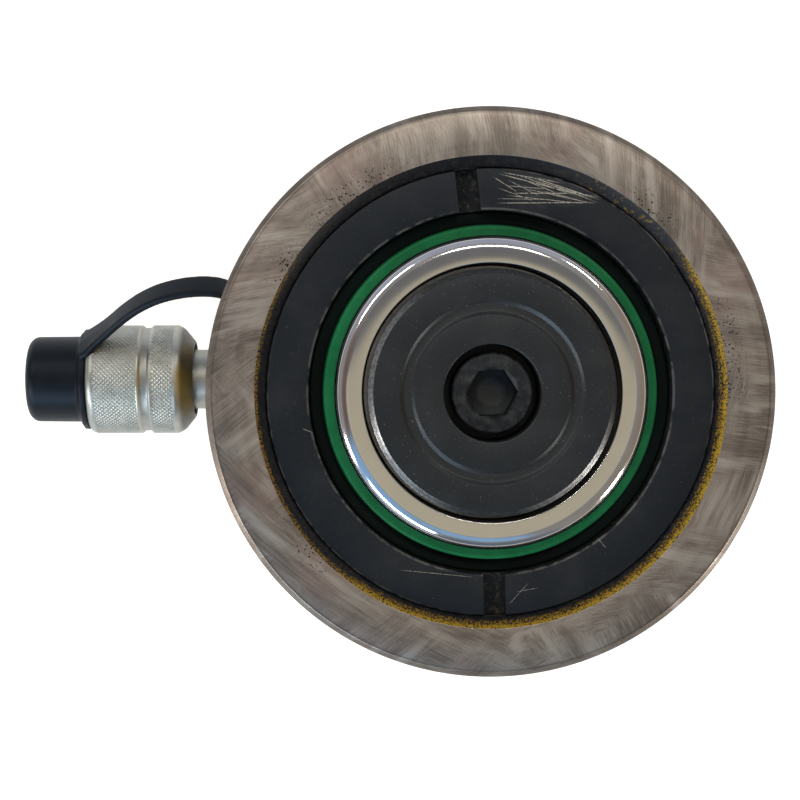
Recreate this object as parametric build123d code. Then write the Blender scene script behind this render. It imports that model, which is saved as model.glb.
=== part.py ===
from build123d import *
from math import cos, radians, sin, sqrt, tan
import os

# Single-acting spring-return hydraulic cylinder with a collar thread, all sizes in millimetres.
# Origin: centre of the base's underside. +Z runs along the plunger. The quick coupler points along -X.

# Clearances
running_gap = 0.05
loose_gap = 0.3

# Barrel and base
barrel_diameter = 127.0
bore_diameter = 95.2
base_thickness = 27.0
foot_chamfer = 2.0
rim_chamfer = 1.2
collar_thread_length = 55.0
collar_relief_width = 3.0
collar_relief_depth = 1.4

# Stroke and piston
stroke = 101.6
piston_height = 42.7
piston_foot_height = 10.7
piston_foot_step = 3.6
piston_thread_diameter = 60.0
piston_thread_length = 30.0
piston_lip_height = 6.0
bearing_band_height = 10.0
bearing_band_depth = 2.5
bearing_band_sill = 1.0
seal_depth = 6.6
seal_height = 8.0
seal_lip_depth = 3.0
backup_height = 2.5
retainer_height = 3.6
snap_ring_height = 1.8

# Gland: stop ring, wiper and guide band
gland_length = 48.6
gland_thread_depth = 2.4
gland_pilot_length = 6.0
rim_above_gland = 2.0
gland_mouth_chamfer = 2.5
spanner_slot_width = 4.9
spanner_slot_depth = 3.5
spanner_slot_angles = (96.6, 271.1)
wiper_pocket_width = 5.65
wiper_pocket_depth = 12.5
wiper_body_height = 8.0
wiper_lip_width = 2.0
wiper_lip_height = 3.5
gland_band_height = 20.0
gland_band_depth = 3.0
gland_band_sill = 8.0

# Plunger
plunger_diameter = 70.0
plunger_wall = 10.0
plunger_above_rim = 2.5
plunger_edge_round = 3.2
plunger_land_width = 6.35
crown_depth = 60.0
saddle_pocket_depth = 8.0

# Saddle and its screw
saddle_side_gap = 1.2
saddle_above_plunger = 2.0
saddle_chamfer = 1.2
saddle_spigot_diameter = 32.0
saddle_spigot_length = 12.0
saddle_groove_radius = 18.8
saddle_groove_width = 3.2
saddle_groove_depth = 0.8
screw_pocket_diameter = 21.6
screw_pocket_depth = 14.5
screw_diameter = 12.0
screw_head_diameter = 18.0
screw_head_height = 12.0
screw_key_width = 10.0
screw_key_depth = 6.0
screw_head_round = 0.8
screw_point_chamfer = 1.0
socket_mouth_extra = 0.1
screw_length = 30.0
screw_hole_extra = 2.5

# Return spring and its anchors
spring_wire = 8.0
spring_outer_diameter = 44.0
anchor_flange_height = 6.0
anchor_disc_height = 8.0
anchor_nose_length = 28.0
anchor_flange_diameter = 40.0
anchor_screw_length = 28.0
anchor_pocket_depth = 14.0
anchor_nose_round = 1.5
coil_gap = 0.1

# Base mounting holes
base_hole_circle = 95.2
base_hole_diameter = 12.7
base_hole_depth = 19.0

# Port in the barrel's wall
port_height = 33.0
port_face_diameter = 26.0
port_face_depth = 1.5
pipe_thread_diameter = 17.1
pipe_thread_length = 12.5
pipe_taper = 1 / 16
gallery_diameter = 7.0

# Coupler body, measured outward from the port's face
shank_length = 8.2
hexagon_width = 22.2
hexagon_length = 6.8
hexagon_corner_width = 1.0
hexagon_corner_height = 0.6
neck_diameter = 19.2
neck_length = 11.0
nose_diameter = 24.8
nose_length = 16.0
nose_round = 1.0
chamber_diameter = 13.2
chamber_depth = 17.5
seat_thread_diameter = 16.0
seat_length = 8.5
seat_mouth_diameter = 7.8
seat_mouth_length = 2.0

# Poppet valve
poppet_head_diameter = 12.0
poppet_nose_diameter = 7.2
poppet_head_height = 2.2
poppet_nose_out = 2.5
poppet_nose_round = 0.6
poppet_stem_diameter = 4.0
poppet_travel = 3.5
poppet_seal_thickness = 0.8
poppet_coils = 5
poppet_wire = 0.8
poppet_spring_diameter = 9.2
guide_height = 3.0
guide_hole_diameter = 2.4
guide_hole_count = 3

# Sleeve
sleeve_diameter = 35.0
sleeve_thread_diameter = 27.0
sleeve_back_wall = 2.4
sleeve_back_pocket = 2.2
sleeve_back_pocket_diameter = 23.2
sleeve_back_diameter = 25.0
sleeve_shoulder_length = 4.2
sleeve_shoulder_round = 2.0
sleeve_front_round = 2.6
sleeve_reach = 13.1
band_groove_width = 2.0
band_groove_depth = 0.8
band_groove_from_mouth = 17.7
snap_wire = 1.2
snap_depth = 0.8
snap_width = 1.8
snap_opening = 5.0

# Dust cap and strap
cap_diameter = 27.7
cap_length = 19.7
cap_end_round = 4.5
cap_flange_diameter = 32.4
cap_flange_height = 2.4
cap_plug_length = 12.0
cap_wall = 3.2
cap_rib_height = 0.25
cap_rib_count = 3
cap_rib_half_width = 0.8
cap_plug_chamfer = 0.6
cap_flange_edge = 0.9
cap_inner_chamfer = 2.0
strap_tilt = 45.0
strap_width = 8.0
strap_thickness = 2.6
strap_ring_width = 5.0
strap_ring_thickness = 2.6
strap_reach = 44.4
strap_root_out = 1.2
# The arch's corners as shares of the span outward and of the reach, and their roundings
strap_arch = ((0.0, 0.83), (0.13, 1.0), (0.43, 1.0), (0.64, 0.845))
strap_rounds = (9, 8, 18, 30)

# Places worked out from the sizes above
barrel_radius = barrel_diameter / 2
bore_radius = bore_diameter / 2
plunger_radius = plunger_diameter / 2
piston_bottom = base_thickness + loose_gap
piston_top = piston_bottom + piston_height
gland_bottom = piston_top + stroke + loose_gap
gland_top = gland_bottom + gland_length
rim_top = gland_top + rim_above_gland
gland_radius = bore_radius + gland_thread_depth
gland_thread_bottom = gland_bottom + gland_pilot_length
plunger_top = rim_top + plunger_above_rim
plunger_foot = piston_bottom + piston_lip_height
piston_radius = bore_radius - 2 * running_gap
saddle_pocket_radius = plunger_radius - plunger_land_width
saddle_radius = saddle_pocket_radius - saddle_side_gap
saddle_seat = plunger_top - saddle_pocket_depth
saddle_top = plunger_top + saddle_above_plunger
crown_bottom = plunger_top - crown_depth
hollow_radius = plunger_radius - plunger_wall
nose_radius = spring_outer_diameter / 2 - spring_wire - loose_gap
spring_bottom = base_thickness + anchor_flange_height
spring_top = crown_bottom - anchor_disc_height - loose_gap
port_face = barrel_radius - port_face_depth
hexagon_back = port_face + shank_length
neck_back = hexagon_back + hexagon_length
nose_back = neck_back + neck_length
nose_front = nose_back + nose_length
chamber_back = nose_front - chamber_depth
sleeve_front = nose_front + sleeve_reach
sleeve_wall_front = nose_back - 4 * running_gap
sleeve_wall_back = sleeve_wall_front - sleeve_back_wall
sleeve_back = sleeve_wall_back - sleeve_back_pocket
cap_back = sleeve_front + running_gap
cap_front = cap_back + cap_length
cap_plug_back = cap_back - cap_plug_length
screw_seat = saddle_top - screw_pocket_depth

# The coupler's own axis: local Z runs outward from the cylinder's axis, local X is the part's +Y.
coupler_place = Plane(origin=(0, 0, port_height), x_dir=(0, 1, 0), z_dir=(-1, 0, 0))


def turned(*corners):
    """A body of revolution about Z from (radius, height) corners, each with an optional rounding."""
    points = [(corner[0], corner[1]) for corner in corners]
    rounds = [corner[2] if len(corner) > 2 else 0 for corner in corners]
    if any(rounds):
        outline = FilletPolyline(*points, radius=rounds, close=True)
    else:
        outline = Polyline(*points, close=True)
    return revolve(Plane.XZ * make_face(outline.edges()), Axis.Z)


def ring(inner_radius, outer_radius, bottom, top):
    """A plain ring about Z."""
    return turned((inner_radius, bottom), (outer_radius, bottom), (outer_radius, top), (inner_radius, top))


def hexagon(width, height):
    """A hexagonal prism on the XY plane, given across its flats, with two corners on the Y axis."""
    return extrude(RegularPolygon(width / 2, 6, major_radius=False, rotation=90), height)


def coil_spring(outer_radius, wire, bottom, top):
    """A close-wound spring of round wire, with as many coils as its length holds."""
    height = top - bottom - wire
    coils = int(height / (wire + coil_gap))
    path = Helix(height / coils, height, outer_radius - wire / 2, center=(0, 0, bottom + wire / 2))
    return wound(path, Circle(wire / 2))


def open_spring(outer_radius, wire, bottom, top, coils):
    """A spring of round wire with its coils apart."""
    height = top - bottom - wire
    path = Helix(height / coils, height, outer_radius - wire / 2, center=(0, 0, bottom + wire / 2))
    return wound(path, Circle(wire / 2))


def wound(path, section):
    """A section carried along a helix, its local X pointing away from the helix's axis."""
    start = Plane(origin=path @ 0, x_dir=(1, 0, 0), z_dir=path % 0)
    return sweep(start * section, path=path, is_frenet=True)


def make_cylinder_body():
    """Barrel and base in one piece, open at the top, with its port and its two mounting holes."""
    relief_top = rim_top - collar_thread_length
    relief_bottom = relief_top - collar_relief_width
    relief_radius = barrel_radius - collar_relief_depth
    body = turned(
        (0, 0),
        (barrel_radius - foot_chamfer, 0),
        (barrel_radius, foot_chamfer),
        (barrel_radius, relief_bottom),
        (relief_radius, relief_bottom),
        (relief_radius, relief_top),
        (barrel_radius, relief_top),
        (barrel_radius, rim_top - rim_chamfer),
        (barrel_radius - rim_chamfer, rim_top),
        (gland_radius + gland_mouth_chamfer, rim_top),
        (gland_radius, rim_top - gland_mouth_chamfer),
        (gland_radius, gland_thread_bottom),
        (bore_radius, gland_thread_bottom),
        (bore_radius, base_thickness),
        (0, base_thickness),
    )
    body -= coupler_place * port_cutter()
    hole = round_cutter(base_hole_diameter / 2, 0, base_hole_depth)
    for side in (-1, 1):
        body -= Pos(0, side * base_hole_circle / 2, 0) * hole
    screw_floor = spring_bottom + anchor_nose_length - anchor_pocket_depth - anchor_screw_length
    return body - round_cutter(screw_diameter / 2, screw_floor - screw_hole_extra, base_thickness)


def round_cutter(radius, bottom, top):
    """A round hole's cutter about Z."""
    return Pos(0, 0, bottom) * Cylinder(radius, top - bottom, align=(Align.CENTER, Align.CENTER, Align.MIN))


def pipe_radius(depth):
    """The taper thread's radius at a depth below the port's face."""
    return pipe_thread_diameter / 2 - depth * pipe_taper / 2


def port_cutter():
    """Spot face, taper thread and gallery, along the coupler's axis."""
    thread_end = port_face - pipe_thread_length
    return turned(
        (0, bore_radius - plunger_wall),
        (gallery_diameter / 2, bore_radius - plunger_wall),
        (gallery_diameter / 2, thread_end),
        (pipe_radius(pipe_thread_length), thread_end),
        (pipe_radius(0), port_face),
        (port_face_diameter / 2, port_face),
        (port_face_diameter / 2, barrel_radius + foot_chamfer),
        (0, barrel_radius + foot_chamfer),
    )


def make_stop_ring():
    """The gland that closes the barrel and stops the piston, with its spanner slots."""
    outer_radius = gland_radius - running_gap
    bore = plunger_radius + 2 * running_gap
    pocket_radius = plunger_radius + wiper_pocket_width
    pocket_floor = gland_top - wiper_pocket_depth
    band_radius = bore + gland_band_depth
    band_bottom = gland_bottom + gland_band_sill
    body = turned(
        (bore, gland_bottom),
        (bore_radius - running_gap, gland_bottom),
        (bore_radius - running_gap, gland_thread_bottom),
        (outer_radius, gland_thread_bottom),
        (outer_radius, gland_top),
        (pocket_radius, gland_top),
        (pocket_radius, pocket_floor),
        (bore, pocket_floor),
        (bore, band_bottom + gland_band_height),
        (band_radius, band_bottom + gland_band_height),
        (band_radius, band_bottom),
        (bore, band_bottom),
    )
    slot_length = outer_radius - pocket_radius + spanner_slot_width
    slot = Box(slot_length, spanner_slot_width, 2 * spanner_slot_depth)
    for angle in spanner_slot_angles:
        body -= Rot(0, 0, angle) * Pos((outer_radius + pocket_radius) / 2, 0, gland_top) * slot
    return body


def make_gland_bearing():
    """The split guide band inside the stop ring."""
    bottom = gland_bottom + gland_band_sill
    outer_radius = plunger_radius + 2 * running_gap + gland_band_depth
    return ring(plunger_radius + running_gap, outer_radius, bottom, bottom + gland_band_height)


def make_wiper_ring():
    """The wiper: a base in the stop ring's pocket and a lip that leans in to the plunger."""
    base_radius = plunger_radius + wiper_pocket_width
    bottom = gland_top - wiper_pocket_depth
    top = bottom + wiper_body_height
    lip_radius = plunger_radius + running_gap
    return turned(
        (lip_radius + loose_gap, bottom),
        (base_radius, bottom),
        (base_radius, top),
        (lip_radius + wiper_lip_width + loose_gap, top),
        (lip_radius + wiper_lip_width, top + wiper_lip_height),
        (lip_radius, top + wiper_lip_height),
    )


def make_plunger():
    """The hollow plunger, with a solid crown that takes the saddle."""
    spigot_radius = saddle_spigot_diameter / 2 + running_gap
    spigot_floor = saddle_seat - saddle_spigot_length - loose_gap
    hole_floor = screw_seat - screw_length - screw_hole_extra
    thread_top = plunger_foot + piston_thread_length
    thread_radius = piston_thread_diameter / 2
    return turned(
        (hollow_radius, plunger_foot),
        (thread_radius, plunger_foot),
        (thread_radius, thread_top),
        (plunger_radius, thread_top),
        (plunger_radius, plunger_top, plunger_edge_round),
        (saddle_pocket_radius, plunger_top),
        (saddle_pocket_radius, saddle_seat),
        (spigot_radius, saddle_seat),
        (spigot_radius, spigot_floor),
        (screw_diameter / 2, spigot_floor),
        (screw_diameter / 2, hole_floor),
        (0, hole_floor),
        (0, crown_bottom),
        (hollow_radius, crown_bottom),
    )


def piston_levels():
    """Heights of the bearing band's groove and of the seal stack's step."""
    band_bottom = piston_bottom + piston_foot_height + bearing_band_sill
    step = piston_top - snap_ring_height - retainer_height - backup_height - seal_height
    return band_bottom, step


def make_piston_head():
    """The piston, with a relieved foot over the port, a band groove and an open step for the seals."""
    band_bottom, step = piston_levels()
    band_top = band_bottom + bearing_band_height
    foot_radius = piston_radius - piston_foot_step
    step_radius = piston_radius - seal_depth
    thread_radius = piston_thread_diameter / 2
    thread_top = plunger_foot + piston_thread_length
    return turned(
        (hollow_radius, piston_bottom),
        (foot_radius, piston_bottom),
        (foot_radius, piston_bottom + piston_foot_height),
        (piston_radius, piston_bottom + piston_foot_height),
        (piston_radius, band_bottom),
        (piston_radius - bearing_band_depth, band_bottom),
        (piston_radius - bearing_band_depth, band_top),
        (piston_radius, band_top),
        (piston_radius, step),
        (step_radius, step),
        (step_radius, piston_top),
        (plunger_radius, piston_top),
        (plunger_radius, thread_top),
        (thread_radius, thread_top),
        (thread_radius, plunger_foot),
        (hollow_radius, plunger_foot),
    )


def make_piston_bearing():
    """The wear band in the piston's groove."""
    bottom, _ = piston_levels()
    return ring(
        piston_radius - bearing_band_depth, bore_radius - running_gap, bottom, bottom + bearing_band_height
    )


def make_piston_seal():
    """The U-cup, its lips facing down to the pressure."""
    _, bottom = piston_levels()
    inner = piston_radius - seal_depth
    outer = bore_radius - running_gap
    third = (outer - inner) / 3
    return turned(
        (inner, bottom),
        (inner + third, bottom),
        (inner + 1.5 * third, bottom + seal_lip_depth),
        (outer - third, bottom),
        (outer, bottom),
        (outer, bottom + seal_height),
        (inner, bottom + seal_height),
    )


def make_seal_backup_ring():
    """The backup ring above the cup."""
    _, step = piston_levels()
    bottom = step + seal_height
    return ring(piston_radius - seal_depth, piston_radius, bottom, bottom + backup_height)


def make_seal_retainer():
    """The steel ring over the seals."""
    _, step = piston_levels()
    bottom = step + seal_height + backup_height
    return ring(piston_radius - seal_depth, piston_radius, bottom, bottom + retainer_height)


def make_piston_snap_ring():
    """The snap ring round the top of the piston, open at one side."""
    inner = piston_radius - seal_depth
    body = ring(inner, inner + snap_ring_height, piston_top - snap_ring_height, piston_top)
    return body - Pos(inner + snap_ring_height, 0, piston_top) * Box(seal_depth, seal_depth, seal_depth)


def make_return_spring():
    """The extension spring, its end coils gripping the two anchors."""
    return coil_spring(spring_outer_diameter / 2, spring_wire, spring_bottom, spring_top)


def make_upper_spring_anchor():
    """The plug screwed up into the plunger, with the nose that the top coils grip."""
    bottom = crown_bottom - anchor_disc_height
    return turned(
        (0, bottom - anchor_nose_length),
        (nose_radius, bottom - anchor_nose_length, anchor_nose_round),
        (nose_radius, bottom),
        (hollow_radius - running_gap, bottom),
        (hollow_radius - running_gap, crown_bottom),
        (0, crown_bottom),
    )


def make_lower_spring_anchor():
    """The plug on the base, counterbored for its screw."""
    top = spring_bottom + anchor_nose_length
    pocket_radius = screw_head_diameter / 2 + running_gap
    hole_radius = screw_diameter / 2 + running_gap
    return turned(
        (hole_radius, base_thickness),
        (anchor_flange_diameter / 2, base_thickness),
        (anchor_flange_diameter / 2, spring_bottom),
        (nose_radius, spring_bottom),
        (nose_radius, top, anchor_nose_round),
        (pocket_radius, top),
        (pocket_radius, top - anchor_pocket_depth),
        (hole_radius, top - anchor_pocket_depth),
    )


def cap_screw(seat, length):
    """A hexagon socket cap screw with its head's underside at the given height."""
    head_radius = screw_head_diameter / 2
    top = seat + screw_head_height
    key_floor = top - screw_key_depth
    point_depth = screw_key_width / 2 * tan(radians(30))
    body = turned(
        (0, seat - length),
        (screw_diameter / 2 - screw_point_chamfer, seat - length),
        (screw_diameter / 2, seat - length + screw_point_chamfer),
        (screw_diameter / 2, seat),
        (head_radius, seat),
        (head_radius, top, screw_head_round),
        (0, top),
    )
    body -= Pos(0, 0, key_floor) * hexagon(screw_key_width, screw_key_depth)
    point = turned((0, key_floor - point_depth), (screw_key_width / 2, key_floor), (0, key_floor))
    mouth_radius = screw_key_width / sqrt(3) + socket_mouth_extra
    mouth = turned((0, top - mouth_radius), (mouth_radius, top), (0, top))
    return body - point - mouth


def make_anchor_screw():
    """The screw that holds the lower anchor to the base."""
    seat = spring_bottom + anchor_nose_length - anchor_pocket_depth
    return cap_screw(seat, anchor_screw_length)


def make_saddle():
    """The load pad, with its spigot, its shallow groove and the pocket for the screw's head."""
    groove_inner = saddle_groove_radius - saddle_groove_width / 2
    groove_outer = saddle_groove_radius + saddle_groove_width / 2
    spigot_bottom = saddle_seat - saddle_spigot_length
    hole_radius = screw_diameter / 2 + loose_gap
    return turned(
        (hole_radius, spigot_bottom),
        (saddle_spigot_diameter / 2, spigot_bottom),
        (saddle_spigot_diameter / 2, saddle_seat),
        (saddle_radius, saddle_seat),
        (saddle_radius, saddle_top - saddle_chamfer),
        (saddle_radius - saddle_chamfer, saddle_top),
        (groove_outer, saddle_top),
        (groove_outer - saddle_groove_depth, saddle_top - saddle_groove_depth),
        (groove_inner + saddle_groove_depth, saddle_top - saddle_groove_depth),
        (groove_inner, saddle_top),
        (screw_pocket_diameter / 2, saddle_top),
        (screw_pocket_diameter / 2, screw_seat),
        (hole_radius, screw_seat),
    )


def make_saddle_screw():
    """The screw in the middle of the saddle."""
    return cap_screw(screw_seat, screw_length)


def make_coupler_body():
    """The coupler's body: taper thread, shank, hexagon, neck with a ring groove, and the valve's nose."""
    shank_radius = pipe_radius(0)
    neck_radius = neck_diameter / 2
    thread_end = port_face - pipe_thread_length
    groove_front = sleeve_wall_back - running_gap
    groove_back = groove_front - snap_wire - 2 * running_gap
    body = turned(
        (gallery_diameter / 2, thread_end),
        (pipe_radius(pipe_thread_length), thread_end),
        (shank_radius, port_face),
        (shank_radius, neck_back),
        (neck_radius, neck_back),
        (neck_radius, groove_back),
        (neck_radius - snap_depth, groove_back),
        (neck_radius - snap_depth, groove_front),
        (neck_radius, groove_front),
        (neck_radius, nose_back),
        (nose_diameter / 2, nose_back),
        (nose_diameter / 2, nose_front, nose_round),
        (seat_thread_diameter / 2, nose_front),
        (seat_thread_diameter / 2, nose_front - seat_length),
        (chamber_diameter / 2, nose_front - seat_length),
        (chamber_diameter / 2, chamber_back),
        (gallery_diameter / 2, chamber_back),
    )
    passage = round_cutter(gallery_diameter / 2, thread_end, chamber_back)
    nut = Pos(0, 0, hexagon_back) * hexagon(hexagon_width, hexagon_length)
    corner = hexagon_width / sqrt(3)
    dome = turned(
        (0, hexagon_back),
        (corner - hexagon_corner_width, hexagon_back),
        (corner, hexagon_back + hexagon_corner_height),
        (corner, neck_back - hexagon_corner_height),
        (corner - hexagon_corner_width, neck_back),
        (0, neck_back),
    )
    return coupler_place * (body + (nut & dome) - passage)


def seat_cone_front():
    """Where the seat's cone meets its mouth."""
    return nose_front - seat_mouth_length


def make_valve_seat():
    """The ring screwed into the nose, with the cone that the poppet shuts on."""
    outer_radius = seat_thread_diameter / 2 - running_gap
    mouth_radius = seat_mouth_diameter / 2
    chamber_radius = chamber_diameter / 2
    cone_front = seat_cone_front()
    cone_back = cone_front - (chamber_radius - mouth_radius)
    return coupler_place * turned(
        (chamber_radius, nose_front - seat_length),
        (outer_radius, nose_front - seat_length),
        (outer_radius, nose_front),
        (mouth_radius, nose_front),
        (mouth_radius, cone_front),
        (chamber_radius, cone_back),
    )


def poppet_levels():
    """Back and front of the poppet's head, and the end of its cone."""
    mouth_radius = seat_mouth_diameter / 2
    cone_gap = 2 * running_gap * sqrt(2)
    nose_radius_here = poppet_nose_diameter / 2
    cone_end = seat_cone_front() + (mouth_radius - nose_radius_here) - cone_gap
    head_front = cone_end - (poppet_head_diameter / 2 - nose_radius_here)
    head_back = head_front - poppet_head_height
    return head_back, head_front, cone_end


def make_coupler_poppet():
    """The poppet: stem, head with its seal groove, cone and nose."""
    head_back, head_front, cone_end = poppet_levels()
    head_radius = poppet_head_diameter / 2
    stem_back = chamber_back - guide_height
    return coupler_place * turned(
        (0, stem_back),
        (poppet_stem_diameter / 2, stem_back),
        (poppet_stem_diameter / 2, head_back),
        (head_radius, head_back),
        (head_radius, head_front - poppet_seal_thickness),
        (head_radius - poppet_seal_thickness, head_front - poppet_seal_thickness),
        (head_radius - poppet_seal_thickness, head_front + poppet_seal_thickness),
        (poppet_nose_diameter / 2, cone_end),
        (poppet_nose_diameter / 2, nose_front + poppet_nose_out, poppet_nose_round),
        (0, nose_front + poppet_nose_out),
    )


def make_poppet_seal():
    """The seal ring on the poppet's shoulder."""
    _, head_front, _ = poppet_levels()
    head_radius = poppet_head_diameter / 2
    return coupler_place * turned(
        (head_radius - poppet_seal_thickness, head_front - poppet_seal_thickness),
        (head_radius, head_front - poppet_seal_thickness),
        (head_radius, head_front),
        (head_radius - poppet_seal_thickness, head_front + poppet_seal_thickness),
    )


def make_poppet_spring():
    """The spring between the guide and the poppet's head."""
    head_back, _, _ = poppet_levels()
    bottom = chamber_back + guide_height
    return coupler_place * open_spring(
        poppet_spring_diameter / 2, poppet_wire, bottom, head_back - running_gap, poppet_coils
    )


def make_poppet_guide():
    """The disc at the chamber's back that guides the stem and lets the oil past."""
    stem_hole = poppet_stem_diameter / 2 + running_gap
    outer_radius = chamber_diameter / 2 - running_gap
    body = ring(stem_hole, outer_radius, chamber_back, chamber_back + guide_height)
    hole_circle = (stem_hole + outer_radius) / 2
    hole = round_cutter(guide_hole_diameter / 2, chamber_back - guide_height, chamber_back + 2 * guide_height)
    for index in range(guide_hole_count):
        body -= Rot(0, 0, index * 360 / guide_hole_count) * Pos(hole_circle, 0, 0) * hole
    return coupler_place * body


def make_coupler_sleeve():
    """The union sleeve: a rounded back, two bands with a groove between them, and a rounded mouth."""
    outer_radius = sleeve_diameter / 2
    thread_radius = sleeve_thread_diameter / 2
    groove_front = sleeve_front - band_groove_from_mouth
    groove_back = groove_front - band_groove_width
    groove_radius = outer_radius - band_groove_depth
    return coupler_place * turned(
        (sleeve_back_pocket_diameter / 2, sleeve_back),
        (sleeve_back_diameter / 2, sleeve_back),
        (outer_radius, sleeve_back + sleeve_shoulder_length, sleeve_shoulder_round),
        (outer_radius, groove_back - band_groove_depth),
        (groove_radius, groove_back),
        (groove_radius, groove_front),
        (outer_radius, groove_front + band_groove_depth),
        (outer_radius, sleeve_front, sleeve_front_round),
        (thread_radius, sleeve_front),
        (thread_radius, sleeve_wall_front),
        (neck_diameter / 2 + 2 * running_gap, sleeve_wall_front),
        (neck_diameter / 2 + 2 * running_gap, sleeve_wall_back),
        (sleeve_back_pocket_diameter / 2, sleeve_wall_back),
    )


def make_sleeve_snap_ring():
    """The open ring in the neck's groove, behind the sleeve's back wall."""
    front = sleeve_wall_back - 2 * running_gap
    inner = neck_diameter / 2 - snap_depth
    body = ring(inner, inner + snap_width, front - snap_wire, front)
    opening = Pos(-inner, 0, front) * Box(3 * snap_width, snap_opening, 3 * snap_wire)
    return coupler_place * (body - opening)


def make_dust_cap():
    """The rubber cap: a ribbed plug, a flange on the sleeve's mouth and a hollow rounded cup."""
    plug_radius = sleeve_thread_diameter / 2 - loose_gap - cap_rib_height
    cup_radius = cap_diameter / 2
    flange_radius = cap_flange_diameter / 2
    cap_hollow_radius = plug_radius - cap_wall
    hollow_front = cap_front - cap_wall
    rib_step = cap_plug_length / (cap_rib_count + 1)
    corners = [(cap_hollow_radius, cap_plug_back), (plug_radius - cap_plug_chamfer, cap_plug_back)]
    for rib in range(cap_rib_count):
        level = cap_plug_back + (rib + 1) * rib_step
        corners.append((plug_radius, level - cap_rib_half_width))
        corners.append((plug_radius + cap_rib_height, level))
        corners.append((plug_radius, level + cap_rib_half_width))
    corners += [
        (plug_radius, cap_back),
        (flange_radius, cap_back),
        (flange_radius, cap_back + cap_flange_edge),
        (cup_radius, cap_back + cap_flange_height),
        (cup_radius, cap_front, cap_end_round),
        (0, cap_front),
        (0, hollow_front),
        (cap_hollow_radius - cap_inner_chamfer, hollow_front),
        (cap_hollow_radius, hollow_front - cap_inner_chamfer),
    ]
    return coupler_place * turned(*corners)


def strap_plane():
    """The plane of the strap's arch: local X outward along the coupler, local Y away from its axis."""
    tilt = radians(strap_tilt)
    return Plane(origin=(0, 0, port_height), x_dir=(-1, 0, 0), z_dir=(0, sin(tilt), -cos(tilt)))


def make_cap_strap():
    """The strap: a ring round the coupler's shank and a flat band that arches over to the cap."""
    ring_inner = pipe_radius(0) + loose_gap
    ring_outer = ring_inner + strap_ring_thickness
    ring_back = port_face + (shank_length - strap_ring_width) / 2
    ring_middle = ring_back + strap_ring_width / 2
    root = cap_back + strap_root_out
    span = root - ring_middle
    route = [(ring_middle, ring_inner + strap_ring_thickness / 2)]
    for outward, away in strap_arch:
        route.append((ring_middle + outward * span, away * strap_reach))
    route.append((root, cap_flange_diameter / 2 + strap_root_out))
    path = FilletPolyline(*route, radius=list(strap_rounds))
    band = extrude(strap_plane() * trace(path, line_width=strap_thickness), strap_width / 2, both=True)
    eye = coupler_place * ring(ring_inner, ring_outer, ring_back, ring_back + strap_ring_width)
    hole = coupler_place * round_cutter(ring_inner, port_face, neck_back)
    return band + eye - hole


pieces = {
    "cylinder_body": make_cylinder_body,
    "stop_ring": make_stop_ring,
    "gland_bearing": make_gland_bearing,
    "wiper_ring": make_wiper_ring,
    "plunger": make_plunger,
    "piston_head": make_piston_head,
    "piston_bearing": make_piston_bearing,
    "piston_seal": make_piston_seal,
    "seal_backup_ring": make_seal_backup_ring,
    "seal_retainer": make_seal_retainer,
    "piston_snap_ring": make_piston_snap_ring,
    "return_spring": make_return_spring,
    "upper_spring_anchor": make_upper_spring_anchor,
    "lower_spring_anchor": make_lower_spring_anchor,
    "anchor_screw": make_anchor_screw,
    "saddle": make_saddle,
    "saddle_screw": make_saddle_screw,
    "coupler_body": make_coupler_body,
    "coupler_sleeve": make_coupler_sleeve,
    "sleeve_snap_ring": make_sleeve_snap_ring,
    "valve_seat": make_valve_seat,
    "coupler_poppet": make_coupler_poppet,
    "poppet_seal": make_poppet_seal,
    "poppet_spring": make_poppet_spring,
    "poppet_guide": make_poppet_guide,
    "dust_cap": make_dust_cap,
    "cap_strap": make_cap_strap,
}

os.makedirs("parts", exist_ok=True)
for name, make in pieces.items():
    export_step(make(), f"parts/{name}.step")
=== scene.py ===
import math
import bmesh
import bpy
from mathutils import Matrix, Vector


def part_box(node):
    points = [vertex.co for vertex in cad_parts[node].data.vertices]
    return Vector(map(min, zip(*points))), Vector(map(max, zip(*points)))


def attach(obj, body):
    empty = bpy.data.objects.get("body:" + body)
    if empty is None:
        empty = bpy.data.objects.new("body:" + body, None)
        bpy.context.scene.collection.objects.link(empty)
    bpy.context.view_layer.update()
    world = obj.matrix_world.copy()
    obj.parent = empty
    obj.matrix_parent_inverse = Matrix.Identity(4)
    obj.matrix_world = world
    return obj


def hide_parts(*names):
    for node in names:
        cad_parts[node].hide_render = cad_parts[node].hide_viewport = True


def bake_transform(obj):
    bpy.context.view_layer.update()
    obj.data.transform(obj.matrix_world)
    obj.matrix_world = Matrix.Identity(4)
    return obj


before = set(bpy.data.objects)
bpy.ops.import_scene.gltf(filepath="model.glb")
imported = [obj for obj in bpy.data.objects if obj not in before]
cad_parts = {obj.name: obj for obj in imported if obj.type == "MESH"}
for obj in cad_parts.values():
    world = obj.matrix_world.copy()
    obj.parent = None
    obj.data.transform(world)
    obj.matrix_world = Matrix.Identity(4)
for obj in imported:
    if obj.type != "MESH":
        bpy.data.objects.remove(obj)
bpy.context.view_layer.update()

# A spring-return hydraulic cylinder with a collar thread, dressed round its solids.
# Sizes are in millimetres here and become metres when a mesh is made.
mm = 0.001


def report(stage):
    print("scene:", stage)


def lowOf(node):
    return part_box(node)[0] / mm


def highOf(node):
    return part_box(node)[1] / mm


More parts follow.
